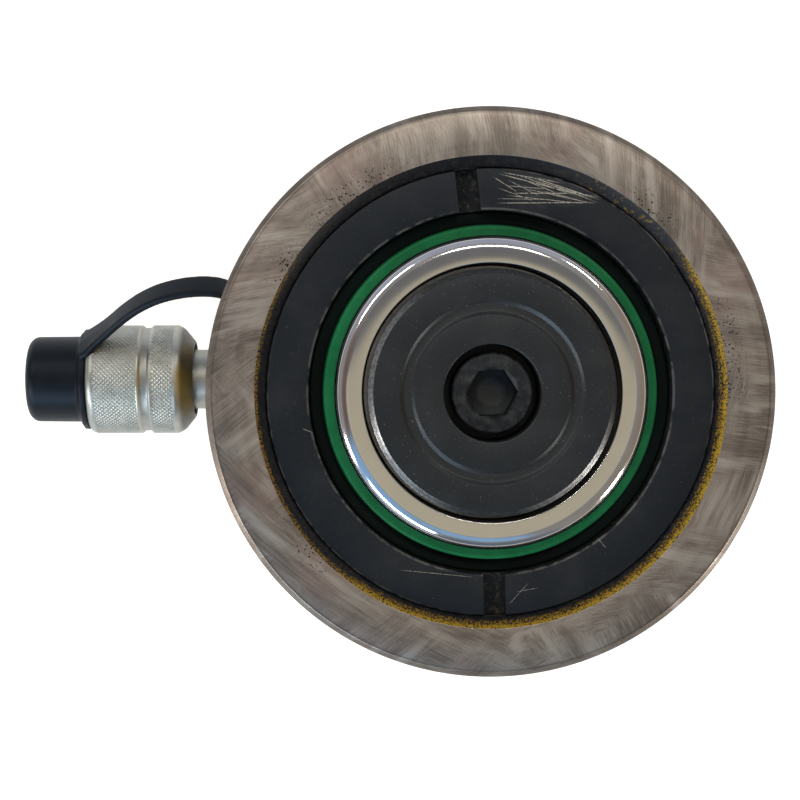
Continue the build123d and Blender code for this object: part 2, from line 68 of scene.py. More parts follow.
# Sizes that several pieces share, read from the solids
barrelRadius = highOf("cylinder_body").x
rimTop = highOf("cylinder_body").z
ringTop = highOf("stop_ring").z
ringRadius = highOf("stop_ring").x
plungerRadius = highOf("plunger").x
plungerTop = highOf("plunger").z
saddleRadius = highOf("saddle").x
saddleTop = highOf("saddle").z
screwTop = highOf("saddle_screw").z
screwRadius = highOf("saddle_screw").x
wiperTop = highOf("wiper_ring").z
wiperRadius = highOf("wiper_ring").x
portHeight = (lowOf("coupler_sleeve").z + highOf("coupler_sleeve").z) / 2
sleeveFront = -lowOf("coupler_sleeve").x
sleeveBack = -highOf("coupler_sleeve").x
sleeveRadius = (highOf("coupler_sleeve").y - lowOf("coupler_sleeve").y) / 2
capFront = -lowOf("dust_cap").x
couplerFront = -lowOf("coupler_body").x
eyeBack = -highOf("cap_strap").x


# Mesh building

def roundCorners(corners, steps=5):
    # Corners are (radius, height) or (radius, height, rounding); rounded ones become arcs.
    outline = []
    for index, corner in enumerate(corners):
        here = Vector(corner[:2])
        rounding = corner[2] if len(corner) > 2 else 0
        if not rounding:
            outline.append(here)
            continue
        before = (Vector(corners[index - 1][:2]) - here).normalized()
        after = (Vector(corners[(index + 1) % len(corners)][:2]) - here).normalized()
        half = before.angle(after) / 2
        centre = here + (before + after).normalized() * rounding / math.sin(half)
        start = here + before * rounding / math.tan(half) - centre
        turn = math.copysign(math.pi - 2 * half, before.cross(after)) * -1
        count = max(2, round(steps * abs(turn) / (math.pi / 2)))
        for step in range(count + 1):
            angle = turn * step / count
            outline.append(centre + Matrix.Rotation(angle, 2) @ start)
    return [(point.x, point.y) for point in outline]


def alongCoupler():
    # Local Z runs outward along the coupler, local X is the part's +Y.
    return Matrix(((0, 0, -1, 0), (1, 0, 0, 0), (0, -1, 0, portHeight), (0, 0, 0, 1)))


def finishMesh(name, work, place=None, sharp=38):
    weld = 1e-5
    bmesh.ops.remove_doubles(work, verts=work.verts, dist=weld)
    bmesh.ops.dissolve_degenerate(work, edges=work.edges, dist=weld)
    if place is not None:
        work.transform(place)
    bmesh.ops.scale(work, vec=(mm, mm, mm), verts=work.verts)
    bmesh.ops.recalc_face_normals(work, faces=work.faces)
    mesh = bpy.data.meshes.new(name)
    work.to_mesh(mesh)
    work.free()
    piece = bpy.data.objects.new(name, mesh)
    bpy.context.scene.collection.objects.link(piece)
    smoothBy(piece, sharp)
    return piece


def smoothBy(piece, sharp):
    mesh = piece.data
    mesh.polygons.foreach_set("use_smooth", [True] * len(mesh.polygons))
    mesh.set_sharp_from_angle(angle=math.radians(sharp))


def skin(rings, capped=False):
    # Each ring is a closed list of points; neighbouring rings are joined by quads.
    work = bmesh.new()
    made = [[work.verts.new(point) for point in ring] for ring in rings]
    for left, right in zip(made, made[1:]):
        for row in range(len(left)):
            other = (row + 1) % len(left)
            work.faces.new((left[row], right[row], right[other], left[other]))
    if capped:
        work.faces.new(made[0])
        work.faces.new(list(reversed(made[-1])))
    return work


def spun(outlineAt, count):
    # outlineAt(angle) gives the (radius, height) outline at that angle; the last ring meets the first.
    rings = []
    for index in range(count + 1):
        angle = 2 * math.pi * index / count
        aim = 2 * math.pi * (index % count) / count
        rings.append([(r * math.cos(aim), r * math.sin(aim), z) for r, z in outlineAt(angle)])
    return skin(rings)


def lathe(name, corners, count=160, place=None, sharp=38, steps=5):
    outline = roundCorners(corners, steps)
    return finishMesh(name, spun(lambda angle: outline, count), place, sharp)


def cut(piece, cutter, operation="DIFFERENCE", sharp=38):
    change = piece.modifiers.new("cut", "BOOLEAN")
    change.operation = operation
    change.solver = "EXACT"
    change.object = cutter
    bakeModifiers(piece)
    bpy.data.objects.remove(cutter)
    smoothBy(piece, sharp)


def bakeModifiers(piece):
    ready = bpy.context.evaluated_depsgraph_get()
    mesh = bpy.data.meshes.new_from_object(piece.evaluated_get(ready))
    piece.modifiers.clear()
    piece.data = mesh


def prism(name, sides, acrossFlats, bottom, top, turn=0.0):
    work = bmesh.new()
    reach = acrossFlats / 2 / math.cos(math.pi / sides)
    bmesh.ops.create_cone(
        work, cap_ends=True, segments=sides, radius1=reach, radius2=reach, depth=top - bottom,
        matrix=Matrix.Translation((0, 0, (top + bottom) / 2)) @ Matrix.Rotation(turn, 4, "Z"),
    )
    return finishMesh(name, work)


def directions(path):
    # The unit direction of the path at each of its points.
    for index in range(len(path)):
        yield (path[min(index + 1, len(path) - 1)] - path[max(index - 1, 0)]).normalized()


def sweep(name, path, section, place=None):
    # The section's (across, up) points are carried along the path with a steady up direction.
    rings = []
    for point, along in zip(path, directions(path)):
        side = along.cross(Vector((0, 0, 1))).normalized()
        up = side.cross(along)
        rings.append([point + side * a + up * b for a, b in section])
    return finishMesh(name, skin(rings, capped=True), place, 50)


def smoothCurve(points, steps=10):
    # A Catmull-Rom curve through the points.
    points = [Vector(point) for point in points]
    padded = [2 * points[0] - points[1]] + points + [2 * points[-1] - points[-2]]
    curve = []
    for a, b, c, d in zip(padded, padded[1:], padded[2:], padded[3:]):
        for step in range(steps):
            t = step / steps
            curve.append(0.5 * (2 * b + (c - a) * t + (2 * a - 5 * b + 4 * c - d) * t * t
                                + (3 * b - a - 3 * c + d) * t ** 3))
    curve.append(points[-1])
    return curve


def roundSection(radius, count):
    turns = [2 * math.pi * k / count for k in range(count)]
    return [(radius * math.cos(turn), radius * math.sin(turn)) for turn in turns]


# Materials

class Link:
    # A node's output socket that adds Math nodes when it is used in an expression.
    def __init__(self, finish, socket):
        self.finish = finish
        self.socket = socket

    def maths(self, operation, *others):
        return self.finish.add("Math", {"operation": operation}, (self, *others))

    def __add__(self, other):
        return self.maths("ADD", other)

    __radd__ = __add__

    def __sub__(self, other):
        return self.maths("SUBTRACT", other)

    def __rsub__(self, other):
        return self.finish.add("Math", {"operation": "SUBTRACT"}, (other, self))

    def __mul__(self, other):
        return self.maths("MULTIPLY", other)

    __rmul__ = __mul__

    def __pow__(self, other):
        return self.maths("POWER", other)

    def orMore(self, other):
        # The larger of the two.
        return self.maths("MAXIMUM", other)


class Tree:
    # A node tree and the ways to add nodes to it.
    def __init__(self, owner):
        owner.use_nodes = True
        self.tree = owner.node_tree
        self.tree.nodes.clear()
        self.colour = None

    def plug(self, socket, value):
        if isinstance(value, Link):
            self.tree.links.new(value.socket, socket)
        elif isinstance(value, (tuple, list)) and len(value) == 3 and len(socket.default_value) == 4:
            socket.default_value = (*value, 1)
        else:
            socket.default_value = value

    def add(self, kind, settings=None, values=None, out=0):
        node = self.tree.nodes.new("ShaderNode" + kind)
        for key, value in (settings or {}).items():
            setattr(node, key, value)
        pairs = values.items() if isinstance(values, dict) else enumerate(values or ())
        for key, value in pairs:
            self.plug(node.inputs[key], value)
        return Link(self, node.outputs[out])

    def vectorMaths(self, operation, *values, out=0):
        return self.add("VectorMath", {"operation": operation}, values, out)

    def spot(self, shift=None, stretch=None):
        # The surface point in millimetres in the part's frame, shifted and stretched.
        point = self.add("TexCoord", out=3)
        point = self.add("VectorMath", {"operation": "SCALE"}, {0: point, "Scale": 1 / mm})
        if shift:
            point = self.vectorMaths("SUBTRACT", point, shift)
        if stretch:
            point = self.vectorMaths("MULTIPLY", point, stretch)
        return point

    def split(self, vector):
        node = self.add("SeparateXYZ", values=[vector]).socket.node
        return [Link(self, socket) for socket in node.outputs]

    def join(self, x, y, z):
        return self.add("CombineXYZ", values=[x, y, z])

    def polar(self, vector=None, centre=(0, 0)):
        # Distance from the axis, angle round it and height.
        x, y, z = self.split(vector or self.spot())
        x = x - centre[0]
        y = y - centre[1]
        distance = (x * x + y * y) ** 0.5
        return distance, y.maths("ARCTAN2", x), z

    def couplerPolar(self):
        # Distance from the coupler's axis and the way outward along it.
        x, y, z = self.split(self.spot())
        z = z - portHeight
        return (y * y + z * z) ** 0.5, 0 - x

    def noise(self, size, vector=None, detail=3.0, rough=0.55, bend=0.0):
        # Grey noise whose blobs are about that many millimetres across.
        values = {"Vector": vector or self.spot(), "Scale": 1 / size, "Detail": detail, "Roughness": rough,
                  "Distortion": bend}
        return self.add("TexNoise", {"noise_dimensions": "3D"}, values)

    def patches(self, size, low, high, vector=None, detail=3.0, rough=0.55):
        # Noise as patches with soft edges, 0 below low and 1 above high.
        return self.between(self.noise(size, vector, detail, rough), low, high)

    def cells(self, size, vector):
        return self.add("TexVoronoi", values={"Vector": vector, "Scale": 1 / size})

    def between(self, value, low, high):
        # 0 below low, 1 above high, smooth between them; low may be the larger.
        values = {"Value": value, "From Min": low, "From Max": high}
        return self.add("MapRange", {"interpolation_type": "SMOOTHSTEP"}, values)

    def blend(self, share, first, second):
        return self.add("Mix", {"data_type": "RGBA"}, {0: share, 6: first, 7: second}, out=2)

    def layer(self, share, colour):
        # Lays a colour over the one so far, as strongly as share says.
        self.colour = self.blend(share, self.colour, colour)

    def level(self, share, first, second):
        return self.add("Mix", {"data_type": "FLOAT"}, {0: share, 2: first, 3: second})

    def sightRays(self):
        # The camera's own rays, and those that reach here through metal or glass.
        rays = self.add("LightPath").socket.node.outputs
        kinds = ("Camera", "Glossy", "Transmission")
        seen, glossy, through = [Link(self, rays[f"Is {kind} Ray"]) for kind in kinds]
        return seen, glossy.orMore(through)

    def facing(self, vector, degrees, half, soft=4.0):
        # 1 where the point lies within half a sector's angle of a direction round Z.
        way = self.vectorMaths("NORMALIZE", self.vectorMaths("MULTIPLY", vector, (1, 1, 0)))
        turn = math.radians(degrees)
        toward = self.vectorMaths("DOT_PRODUCT", way, (math.cos(turn), math.sin(turn), 0), out=1)
        outer = math.cos(math.radians(half + soft))
        inner = math.cos(math.radians(max(half - soft, 0)))
        return self.between(toward, outer, inner)

    def scratch(self, vector, start, end, width):
        # 1 on a straight scratch between two points seen from above, fading to its ends.
        start, end = Vector((*start, 0)), Vector((*end, 0))
        along = end - start
        length = along.length
        along.normalize()
        local = self.vectorMaths("SUBTRACT", vector, tuple(start))
        far = self.vectorMaths("DOT_PRODUCT", local, tuple(along), out=1)
        side = self.vectorMaths("DOT_PRODUCT", local, (-along.y, along.x, 0), out=1)
        ends = self.between(far, 0, length * 0.2) * self.between(far, length, length * 0.7)
        return self.between(side.maths("ABSOLUTE"), width, width * 0.3) * ends


class Finish(Tree):
    # One material: a Principled shader and the nodes that feed it.
    def __init__(self, name, **fixed):
        self.material = bpy.data.materials.new(name)
        super().__init__(self.material)
        self.shader = self.tree.nodes.new("ShaderNodeBsdfPrincipled")
        output = self.tree.nodes.new("ShaderNodeOutputMaterial")
        self.tree.links.new(self.shader.outputs[0], output.inputs[0])
        for key, value in fixed.items():
            self.shader.inputs[key.replace("_", " ")].default_value = value

    def feed(self, name, value):
        self.plug(self.shader.inputs[name], value)

    def surface(self, rough, height, depth, strength):
        # The layered colour, the roughness and a relief of depth millimetres for a height of 1.
        self.feed("Base Color", self.colour)
        self.feed("Roughness", rough)
        values = {"Height": height, "Distance": depth * mm, "Strength": strength}
        self.feed("Normal", self.add("Bump", values=values))


def wear(piece, *finishes):
    piece.data.materials.clear()
    for finish in finishes:
        piece.data.materials.append(finish.material)


def paintFaces(piece, choose):
    # choose(centre in mm, normal) gives each face's material index.
    for face in piece.data.polygons:
        face.material_index = choose(face.center / mm, face.normal)


rimSteel = {
    "dark": (0.215, 0.178, 0.150),
    "light": (0.500, 0.440, 0.378),
    # pink is a painted reflection on the ground face.
    "pink": (0.400, 0.285, 0.250),
    # glint and shade are a painted highlight and a painted shade.
    "glint": (0.66, 0.60, 0.53),
    "shade": (0.165, 0.138, 0.116),
    "swirls": [(-95, 40), (70, 110), (40, -120), (-30, -85)],
    "pitAreas": [(-31, 45, 16), (-44, 27, 8), (37, 42, 9), (52, 13, 11), (52, 3, 8), (-40, -36, 7)],
}


def groundSteel():
    s = rimSteel
    f = Finish("ground_steel", Metallic=1.0)
    spot = f.spot()
    radius, angle, _ = f.polar(spot)
    picker = f.noise(34, f.spot(shift=(11, 5, 0)), detail=1.5)
    lines = None
    for index, centre in enumerate(s["swirls"]):
        reach, turn, _ = f.polar(spot, centre)
        strand = f.noise(1, f.join(reach * 3.4, turn * 17, index * 7.0), detail=5, rough=0.66)
        sweeps = f.noise(1, f.join(reach * 0.22, turn * 3.2, index * 3.0), detail=2, rough=0.5)
        if lines is None:
            lines, sheenBands = strand, sweeps
        else:
            share = f.between(picker, 0.36 + 0.075 * index, 0.43 + 0.075 * index)
            lines = f.level(share, lines, strand)
            sheenBands = f.level(share, sheenBands, sweeps)
    cloud = f.noise(19, f.spot(shift=(3, 9, 4)), detail=3, rough=0.6)
    bands = f.noise(1, f.join(radius * 0.35, angle * 1.4, 3), detail=2)
    grit = f.noise(0.45, detail=2)
    tone = f.between(lines * 0.44 + cloud * 0.30 + bands * 0.18 + grit * 0.08, 0.38, 0.62)
    f.colour = f.blend(tone, s["dark"], s["light"])
    # Pink patches laid over the ground face are a painted reflection of the room.
    pinkReflection = f.patches(16, 0.46, 0.66, f.spot(shift=(40, 2, 1)), detail=3)
    f.layer(pinkReflection * 0.48, s["pink"])
    # The glint and shade layers paint highlight and shade in broad bands along the swirls, standing in for
    # the ground face's streaky sheen.
    f.layer(f.between(sheenBands + 0.14 * lines, 0.56, 0.76) * 0.60, s["glint"])
    f.layer(f.between(sheenBands + 0.14 * lines, 0.56, 0.40) * 0.45, s["shade"])
    pits = f.between(f.cells(0.72, f.spot(shift=(2, 2, 0))), 0.40, 0.20)
    pits = pits * f.patches(1.1, 0.36, 0.50, detail=2)
    area = None
    for x, y, size in s["pitAreas"]:
        reach, _, _ = f.polar(spot, (x, y))
        here = f.between(reach, size, size * 0.3)
        area = here if area is None else area.orMore(here)
    inner = f.between(radius, ringRadius + 8.5, ringRadius + 4.5)
    pits = pits * (area * inner + 0.035)
    f.layer(pits, (0.014, 0.012, 0.010))
    edge = f.between(radius, barrelRadius - 1.15, barrelRadius - 1.3)
    edge = edge * f.between(radius, barrelRadius - 1.9, barrelRadius - 1.4)
    f.layer(edge * 0.45, (0.10, 0.08, 0.06))
    # The outer chamfer is darkened: painted shade standing in for the darker room it would mirror.
    shadedChamfer = f.between(radius, barrelRadius - 1.25, barrelRadius - 1.05)
    f.layer(shadedChamfer * (0.35 + 0.5 * cloud), (0.090, 0.074, 0.060))
    f.surface(0.27 + 0.26 * lines + 0.2 * pits, lines * 0.8 + grit * 0.2 - pits * 1.5, 0.028, 0.8)
    return f


def threadSteel():
    f = Finish("thread_steel", Metallic=1.0)
    radius = f.polar()[0]
    soil = f.noise(9, detail=5, rough=0.65)
    fine = f.noise(0.5, f.spot(stretch=(1, 1, 3)), detail=3)
    valley = f.between(radius, barrelRadius - 0.25, barrelRadius - 1.05)
    f.colour = f.blend(f.between(soil + 0.35 * fine, 0.42, 0.86), (0.16, 0.145, 0.125), (0.44, 0.42, 0.39))
    f.layer(valley * 0.75, (0.05, 0.042, 0.034))
    crest = f.between(radius, barrelRadius - 0.14, barrelRadius - 0.02)
    f.layer(crest * 0.7, (0.58, 0.56, 0.53))
    f.surface(0.30 + 0.3 * valley + 0.18 * soil, fine, 0.012, 0.6)
    return f


paint = {
    "yellow": (0.62, 0.335, 0.010),
    "faded": (0.70, 0.41, 0.030),
    "primer": (0.16, 0.13, 0.10),
    "steel": (0.33, 0.31, 0.29),
}


def yellowEnamel():
    s = paint
    f = Finish("yellow_enamel", IOR=1.5)
    radius, angle, z = f.polar()
    peel = f.noise(1.6, detail=2)
    broad = f.noise(38, detail=4)
    f.colour = f.blend(f.between(broad, 0.35, 0.7), s["yellow"], s["faded"])
    ends = f.between(z, 7, 0.5) + f.between(z, rimTop - 66, rimTop - 58)
    chance = f.noise(4.2, detail=6, rough=0.7) + 0.17 * ends
    chip = f.between(chance, 0.735, 0.75)
    ringOfPrimer = f.between(chance, 0.715, 0.73)
    scrape = f.noise(1, f.join(angle * 5, z * 0.55, radius * 0.2), detail=5, rough=0.7)
    scrape = f.between(scrape, 0.70, 0.74) * f.patches(26, 0.5, 0.62)
    grime = f.between(f.noise(15, detail=5, rough=0.65) + 0.12 * ends, 0.52, 0.80)
    f.layer(grime * 0.45, (0.20, 0.12, 0.03))
    f.layer(scrape * 0.6, (0.36, 0.24, 0.06))
    f.layer(ringOfPrimer, s["primer"])
    f.layer(chip, s["steel"])
    f.feed("Metallic", chip)
    f.surface(0.26 + 0.14 * grime + 0.18 * chip + 0.2 * scrape,
              peel * 0.35 - ringOfPrimer * 1.2 - scrape * 0.3, 0.06, 0.7)
    return f


mouth = {
    "grease": (0.004, 0.0045, 0.007),
    "dirt": (0.030, 0.024, 0.016),
    "yellow": (0.40, 0.245, 0.014),
    "deepYellow": (0.27, 0.150, 0.008),
    "wideInner": 0.85,
    "thinInner": 1.75,
}


def mouthGrime():
    # The gland's chamfer: black grease and what is left of the paint, wide to the right and below.
    s = mouth
    f = Finish("mouth_grime", IOR=1.45, Specular_IOR_Level=0.26)
    spot = f.spot()
    radius = f.polar(spot)[0]
    ragged = f.noise(1.3, detail=5, rough=0.75)
    wide = f.facing(spot, -46.5, 82, 7)
    thin = f.facing(spot, 192, 44, 6)
    speckle = f.patches(0.45, 0.44, 0.60, detail=3, rough=0.7)
    inner = f.level(wide, ringRadius + s["thinInner"], ringRadius + s["wideInner"])
    inside = f.between(radius + 0.9 * ragged, inner + 0.35, inner + 0.95)
    core = f.between(radius + 0.8 * ragged, inner + 1.05, inner + 1.75)
    core = core * f.between(speckle + ragged, 0.35, 0.75)
    yellow = wide.orMore(thin * 0.9) * inside * (core + (1 - core) * speckle)
    spots = f.facing(spot, 52, 12, 8) * f.patches(1.1, 0.56, 0.64, detail=4, rough=0.7)
    f.colour = f.blend(f.between(ragged, 0.45, 0.75), s["grease"], s["dirt"])
    f.layer(yellow.orMore(spots * 0.6), f.blend(core, s["deepYellow"], s["yellow"]))
    f.surface(0.36 + 0.2 * ragged, ragged + yellow * 0.5, 0.06, 0.8)
    return f


def boreSteel():
    f = Finish("bore_steel", Metallic=1.0)
    fine = f.noise(0.6, f.spot(stretch=(1, 1, 2.5)), detail=3)
    film = f.noise(12, detail=3)
    f.colour = f.blend(f.between(film, 0.35, 0.7), (0.34, 0.33, 0.31), (0.48, 0.47, 0.45))
    f.surface(0.22 + 0.2 * fine, fine, 0.006, 0.5)
    return f


ringSteel = {
    "black": (0.0058, 0.0062, 0.0078),
    "worn": (0.0150, 0.0148, 0.0150),
    "slotAngles": (96.6, 271.1),
    "slotWidth": 4.9,
    "bright": (0.55, 0.50, 0.42),
    "scratches": [
        (0.6, 42.1, 24.6, 42.3, 0.13), (1.0, 48.8, 23.4, 43.0, 0.13), (0.2, 48.1, 6.2, 44.3, 0.10),
        (1.9, 49.0, 16.9, 46.4, 0.10), (8.3, 48.1, 25.1, 42.6, 0.14), (4.0, 44.3, 19.9, 44.3, 0.12),
        (6.2, 47.7, 15.6, 43.9, 0.10), (2.7, 43.9, 21.6, 41.9, 0.10), (3.0, 46.0, 13.0, 45.2, 0.08),
        (5.0, 48.7, 19.0, 43.6, 0.09), (9.5, 47.2, 22.5, 43.4, 0.11), (12.0, 46.6, 24.2, 42.1, 0.09),
        (1.2, 45.6, 9.8, 42.4, 0.08), (7.2, 45.4, 23.8, 41.8, 0.10), (14.5, 45.2, 24.8, 43.3, 0.08),
        (3.4, 47.4, 11.6, 43.2, 0.07), (10.8, 44.9, 20.4, 42.7, 0.08), (0.8, 43.1, 14.2, 42.9, 0.07),
        (-21.5, -39.5, -2.4, -41.4, 0.06), (4.0, -47.5, 8.7, -42.3, 0.05), (-30.0, 27.0, -27.5, 25.0, 0.07),
        (26.0, -35.0, 23.0, -31.5, 0.06), (-42.0, -8.0, -39.5, -9.0, 0.07), (5.6, -44.6, 11.2, -43.6, 0.05),
    ],
}


def blackRing():
    s = ringSteel
    f = Finish("black_ring", IOR=1.5, Specular_IOR_Level=0.40, Specular_Tint=(0.80, 0.91, 1.0, 1.0))
    spot = f.spot()
    radius, angle, z = f.polar(spot)
    turned = f.noise(1, f.join(radius * 3.0, angle * 1.5, 0), detail=4, rough=0.6)
    smear = f.noise(14, detail=5, rough=0.6)
    dust = f.patches(0.55, 0.645, 0.72, detail=3, rough=0.7)
    f.colour = f.blend(f.between(smear, 0.42, 0.75), s["black"], s["worn"])
    f.layer(f.between(turned, 0.60, 0.8) * 0.2, (0.03, 0.03, 0.03))
    f.layer(dust * 0.50, (0.13, 0.115, 0.100))
    marks = None
    broken = f.patches(0.5, 0.36, 0.52, detail=3, rough=0.75)
    for *ends, width in s["scratches"]:
        mark = f.scratch(spot, ends[:2], ends[2:], width)
        marks = mark if marks is None else marks.orMore(mark)
    marks = marks * broken
    patch = f.between(f.polar(spot, (13, 44.6))[0], 10, 3) * f.between(f.split(spot)[1], 40.8, 42.2)
    fuzz = f.noise(1, f.join(angle * 9, radius * 3.4, 1), detail=4, rough=0.7)
    f.layer(patch * f.between(fuzz, 0.48, 0.72) * 0.5, (0.20, 0.185, 0.16))
    innerEdge = f.between(radius, wiperRadius + 0.62, wiperRadius + 0.30)
    outerEdge = f.between(radius, ringRadius - 0.50, ringRadius - 0.20)
    side = f.facing(spot, 35, 40, 20) * 0.8 + f.facing(spot, 215, 40, 20) * 0.4
    rub = f.patches(3.5, 0.40, 0.58, detail=4) * (innerEdge * 0.5 + outerEdge * side)
    rub = rub * f.between(z, ringTop - 1.2, ringTop - 0.3)
    f.layer(rub * 0.6, (0.30, 0.28, 0.25))
    f.layer(marks * 0.95, s["bright"])
    deep = f.between(z, ringTop - 1.5, ringTop - 3.2)
    crud = f.patches(1.1, 0.50, 0.66, detail=5, rough=0.75)
    f.layer(deep * 0.85, f.blend(crud, (0.006, 0.005, 0.005), (0.085, 0.068, 0.042)))
    f.feed("Metallic", marks * 0.6)
    f.surface(0.36 + 0.16 * smear + 0.10 * turned - 0.1 * marks + 0.2 * deep,
              turned * 0.4 + smear * 0.3 - marks * 0.6, 0.018, 0.7)
    return f


def greenWiper():
    f = Finish("green_wiper", IOR=1.5, Specular_IOR_Level=0.18)
    radius = f.polar()[0]
    film = f.noise(6, detail=4, rough=0.6)
    # The wiper's outer body, down in the ring's pocket, is painted near-black as shade; only the lip keeps
    # its green.
    lip = f.between(radius, plungerRadius + 2.75, plungerRadius + 2.45)
    f.colour = f.blend(f.between(film, 0.3, 0.75), (0.007, 0.135, 0.042), (0.012, 0.175, 0.058))
    f.colour = f.blend(lip, (0.0004, 0.0060, 0.0040), f.colour)
    specks = f.patches(0.5, 0.66, 0.72, detail=2)
    f.layer(specks * 0.5, (0.01, 0.03, 0.02))
    f.surface(0.34 + 0.25 * (1 - lip) + 0.1 * film, film, 0.05, 0.4)
    return f


def hardChrome():
    f = Finish("hard_chrome", Metallic=1.0)
    radius, angle, z = f.polar()
    flat = f.between(radius, plungerRadius - 3.0, plungerRadius - 3.6)
    lines = f.noise(1, f.join(radius * 4.5, angle * 2.0, z * 4.5), detail=4, rough=0.6)
    haze = f.noise(7, detail=4, rough=0.6)
    f.colour = f.blend(f.between(haze, 0.35, 0.7), (0.725, 0.725, 0.735), (0.79, 0.79, 0.79))
    # The cream tint on the flat end face is a painted reflection.
    f.layer(flat * 0.5, (0.74, 0.70, 0.62))
    nick = f.patches(0.8, 0.70, 0.76, detail=3, rough=0.7)
    f.layer(nick * 0.6, (0.25, 0.22, 0.2))
    f.surface(0.072 + 0.02 * flat + 0.04 * haze + 0.2 * nick, lines, 0.0020, 0.6)
    return f


def blackSaddle():
    f = Finish("black_saddle", IOR=1.5, Specular_IOR_Level=0.55, Specular_Tint=(0.86, 0.95, 1.0, 1.0))
    spot = f.spot()
    radius, angle, z = f.polar(spot)
    turned = f.noise(1, f.join(radius * 4.2, angle * 0.9, 0), detail=4, rough=0.6)
    smear = f.noise(11, detail=4, rough=0.55)
    f.colour = f.blend(f.between(smear, 0.40, 0.75), (0.0085, 0.0088, 0.0092), (0.0170, 0.0165, 0.0158))
    groove = f.between(z, saddleTop - 0.15, saddleTop - 0.6) * f.between(radius, 24, 23)
    f.layer(groove * 0.5, (0.030, 0.026, 0.024))
    edge = f.between(radius, saddleRadius - 1.25, saddleRadius - 1.15)
    edge = edge * f.between(z, saddleTop - 1.6, saddleTop - 1.0)
    worn = f.patches(0.9, 0.42, 0.58, detail=5, rough=0.7)
    # Bright steel on the chamfer: a little wear all round and on the left, and a painted highlight towards
    # the lower left and the lower right.
    wornAndLit = 0.15 + 0.65 * f.facing(spot, 185, 42, 25) + 0.70 * f.facing(spot, 318, 22, 16)
    f.layer(edge * wornAndLit * (0.60 + 0.40 * worn), (0.34, 0.34, 0.34))
    lint = f.patches(0.5, 0.665, 0.73, detail=2)
    f.layer(lint * 0.55, (0.20, 0.18, 0.155))
    f.feed("Metallic", edge * 0.8)
    f.surface(0.33 + 0.12 * smear + 0.10 * turned - 0.10 * edge, turned, 0.010, 0.7)
    return f


def blackScrew():
    f = Finish("black_screw", IOR=1.5, Specular_IOR_Level=0.42, Specular_Tint=(0.86, 0.95, 1.0, 1.0))
    radius, _, z = f.polar()
    blot = f.noise(2.0, detail=5, rough=0.7)
    f.colour = f.blend(f.between(blot, 0.40, 0.66), (0.0055, 0.0055, 0.0060), (0.034, 0.032, 0.030))
    # Inside the hex socket the walls are painted near-black as shade and the middle of the floor is painted
    # lighter as light falling on it.
    deep = f.between(z, screwTop - 0.35, screwTop - 0.9)
    litSocketFloor = f.between(radius + 1.6 * blot, 4.6, 3.2)
    f.layer(deep, f.blend(litSocketFloor, (0.0009, 0.0009, 0.0011), (0.052, 0.049, 0.046)))
    edge = f.between(radius, screwRadius - 1.1, screwRadius - 0.5)
    edge = edge * f.between(z, screwTop - 1.2, screwTop - 0.5)
    f.layer(edge * f.between(blot, 0.35, 0.6) * 0.6, (0.05, 0.048, 0.045))
    f.surface(0.38 + 0.20 * blot, blot, 0.05, 0.6)
    return f


def zincPlate():
    f = Finish("zinc_plate", Metallic=1.0)
    radius, out = f.couplerPolar()
    cloud = f.noise(6, detail=5, rough=0.65)
    bloom = f.patches(3.2, 0.52, 0.72, f.spot(shift=(1, 2, 3)), detail=4)
    f.colour = f.blend(f.between(cloud, 0.32, 0.7), (0.40, 0.415, 0.385), (0.53, 0.545, 0.51))
    f.layer(bloom * 0.25, (0.55, 0.53, 0.44))
    low = f.between(radius, sleeveRadius - 0.12, sleeveRadius - 0.5)
    f.layer(low * 0.4, (0.25, 0.24, 0.22))
    # The rounded back shoulder is darkened: painted shade that also dims its reflection of the yellow barrel.
    shoulder = f.between(out, sleeveBack + 4.6, sleeveBack + 3.2) * f.between(radius, 11.0, 11.8)
    f.layer(shoulder * (0.45 + 0.5 * cloud), (0.075, 0.085, 0.095))
    f.surface(0.32 + 0.20 * cloud + 0.1 * bloom, f.noise(0.5, detail=3), 0.010, 0.5)
    return f


def blackRubber():
    f = Finish("black_rubber", IOR=1.5, Specular_IOR_Level=0.26, Specular_Tint=(0.62, 0.80, 1.0, 1.0))
    skin = f.noise(0.35, detail=3, rough=0.6)
    chalk = f.noise(7, detail=5, rough=0.65)
    dust = f.patches(0.9, 0.62, 0.74, detail=3, rough=0.7)
    f.colour = f.blend(f.between(chalk, 0.42, 0.75), (0.0030, 0.0035, 0.0048), (0.0085, 0.0090, 0.0110))
    f.layer(dust * 0.08, (0.10, 0.09, 0.08))
    f.surface(0.36 + 0.20 * chalk, skin + 0.4 * chalk, 0.020, 0.6)
    return f


def plainMetal(name, dark, light, rough):
    f = Finish(name, Metallic=1.0)
    tool = f.noise(1.2, f.spot(stretch=(1, 1, 4)), detail=4)
    film = f.noise(9, detail=3)
    f.colour = f.blend(f.between(tool * 0.5 + film * 0.5, 0.36, 0.64), dark, light)
    f.surface(rough + 0.2 * film, tool, 0.012, 0.6)
    return f


def plainPolymer(name, dark, light, rough):
    f = Finish(name, IOR=1.5)
    swirl = f.noise(4, detail=4, bend=0.6)
    fine = f.noise(0.5, detail=2)
    f.colour = f.blend(f.between(swirl, 0.35, 0.68), dark, light)
    f.surface(rough + 0.15 * swirl, fine, 0.012, 0.5)
    return f


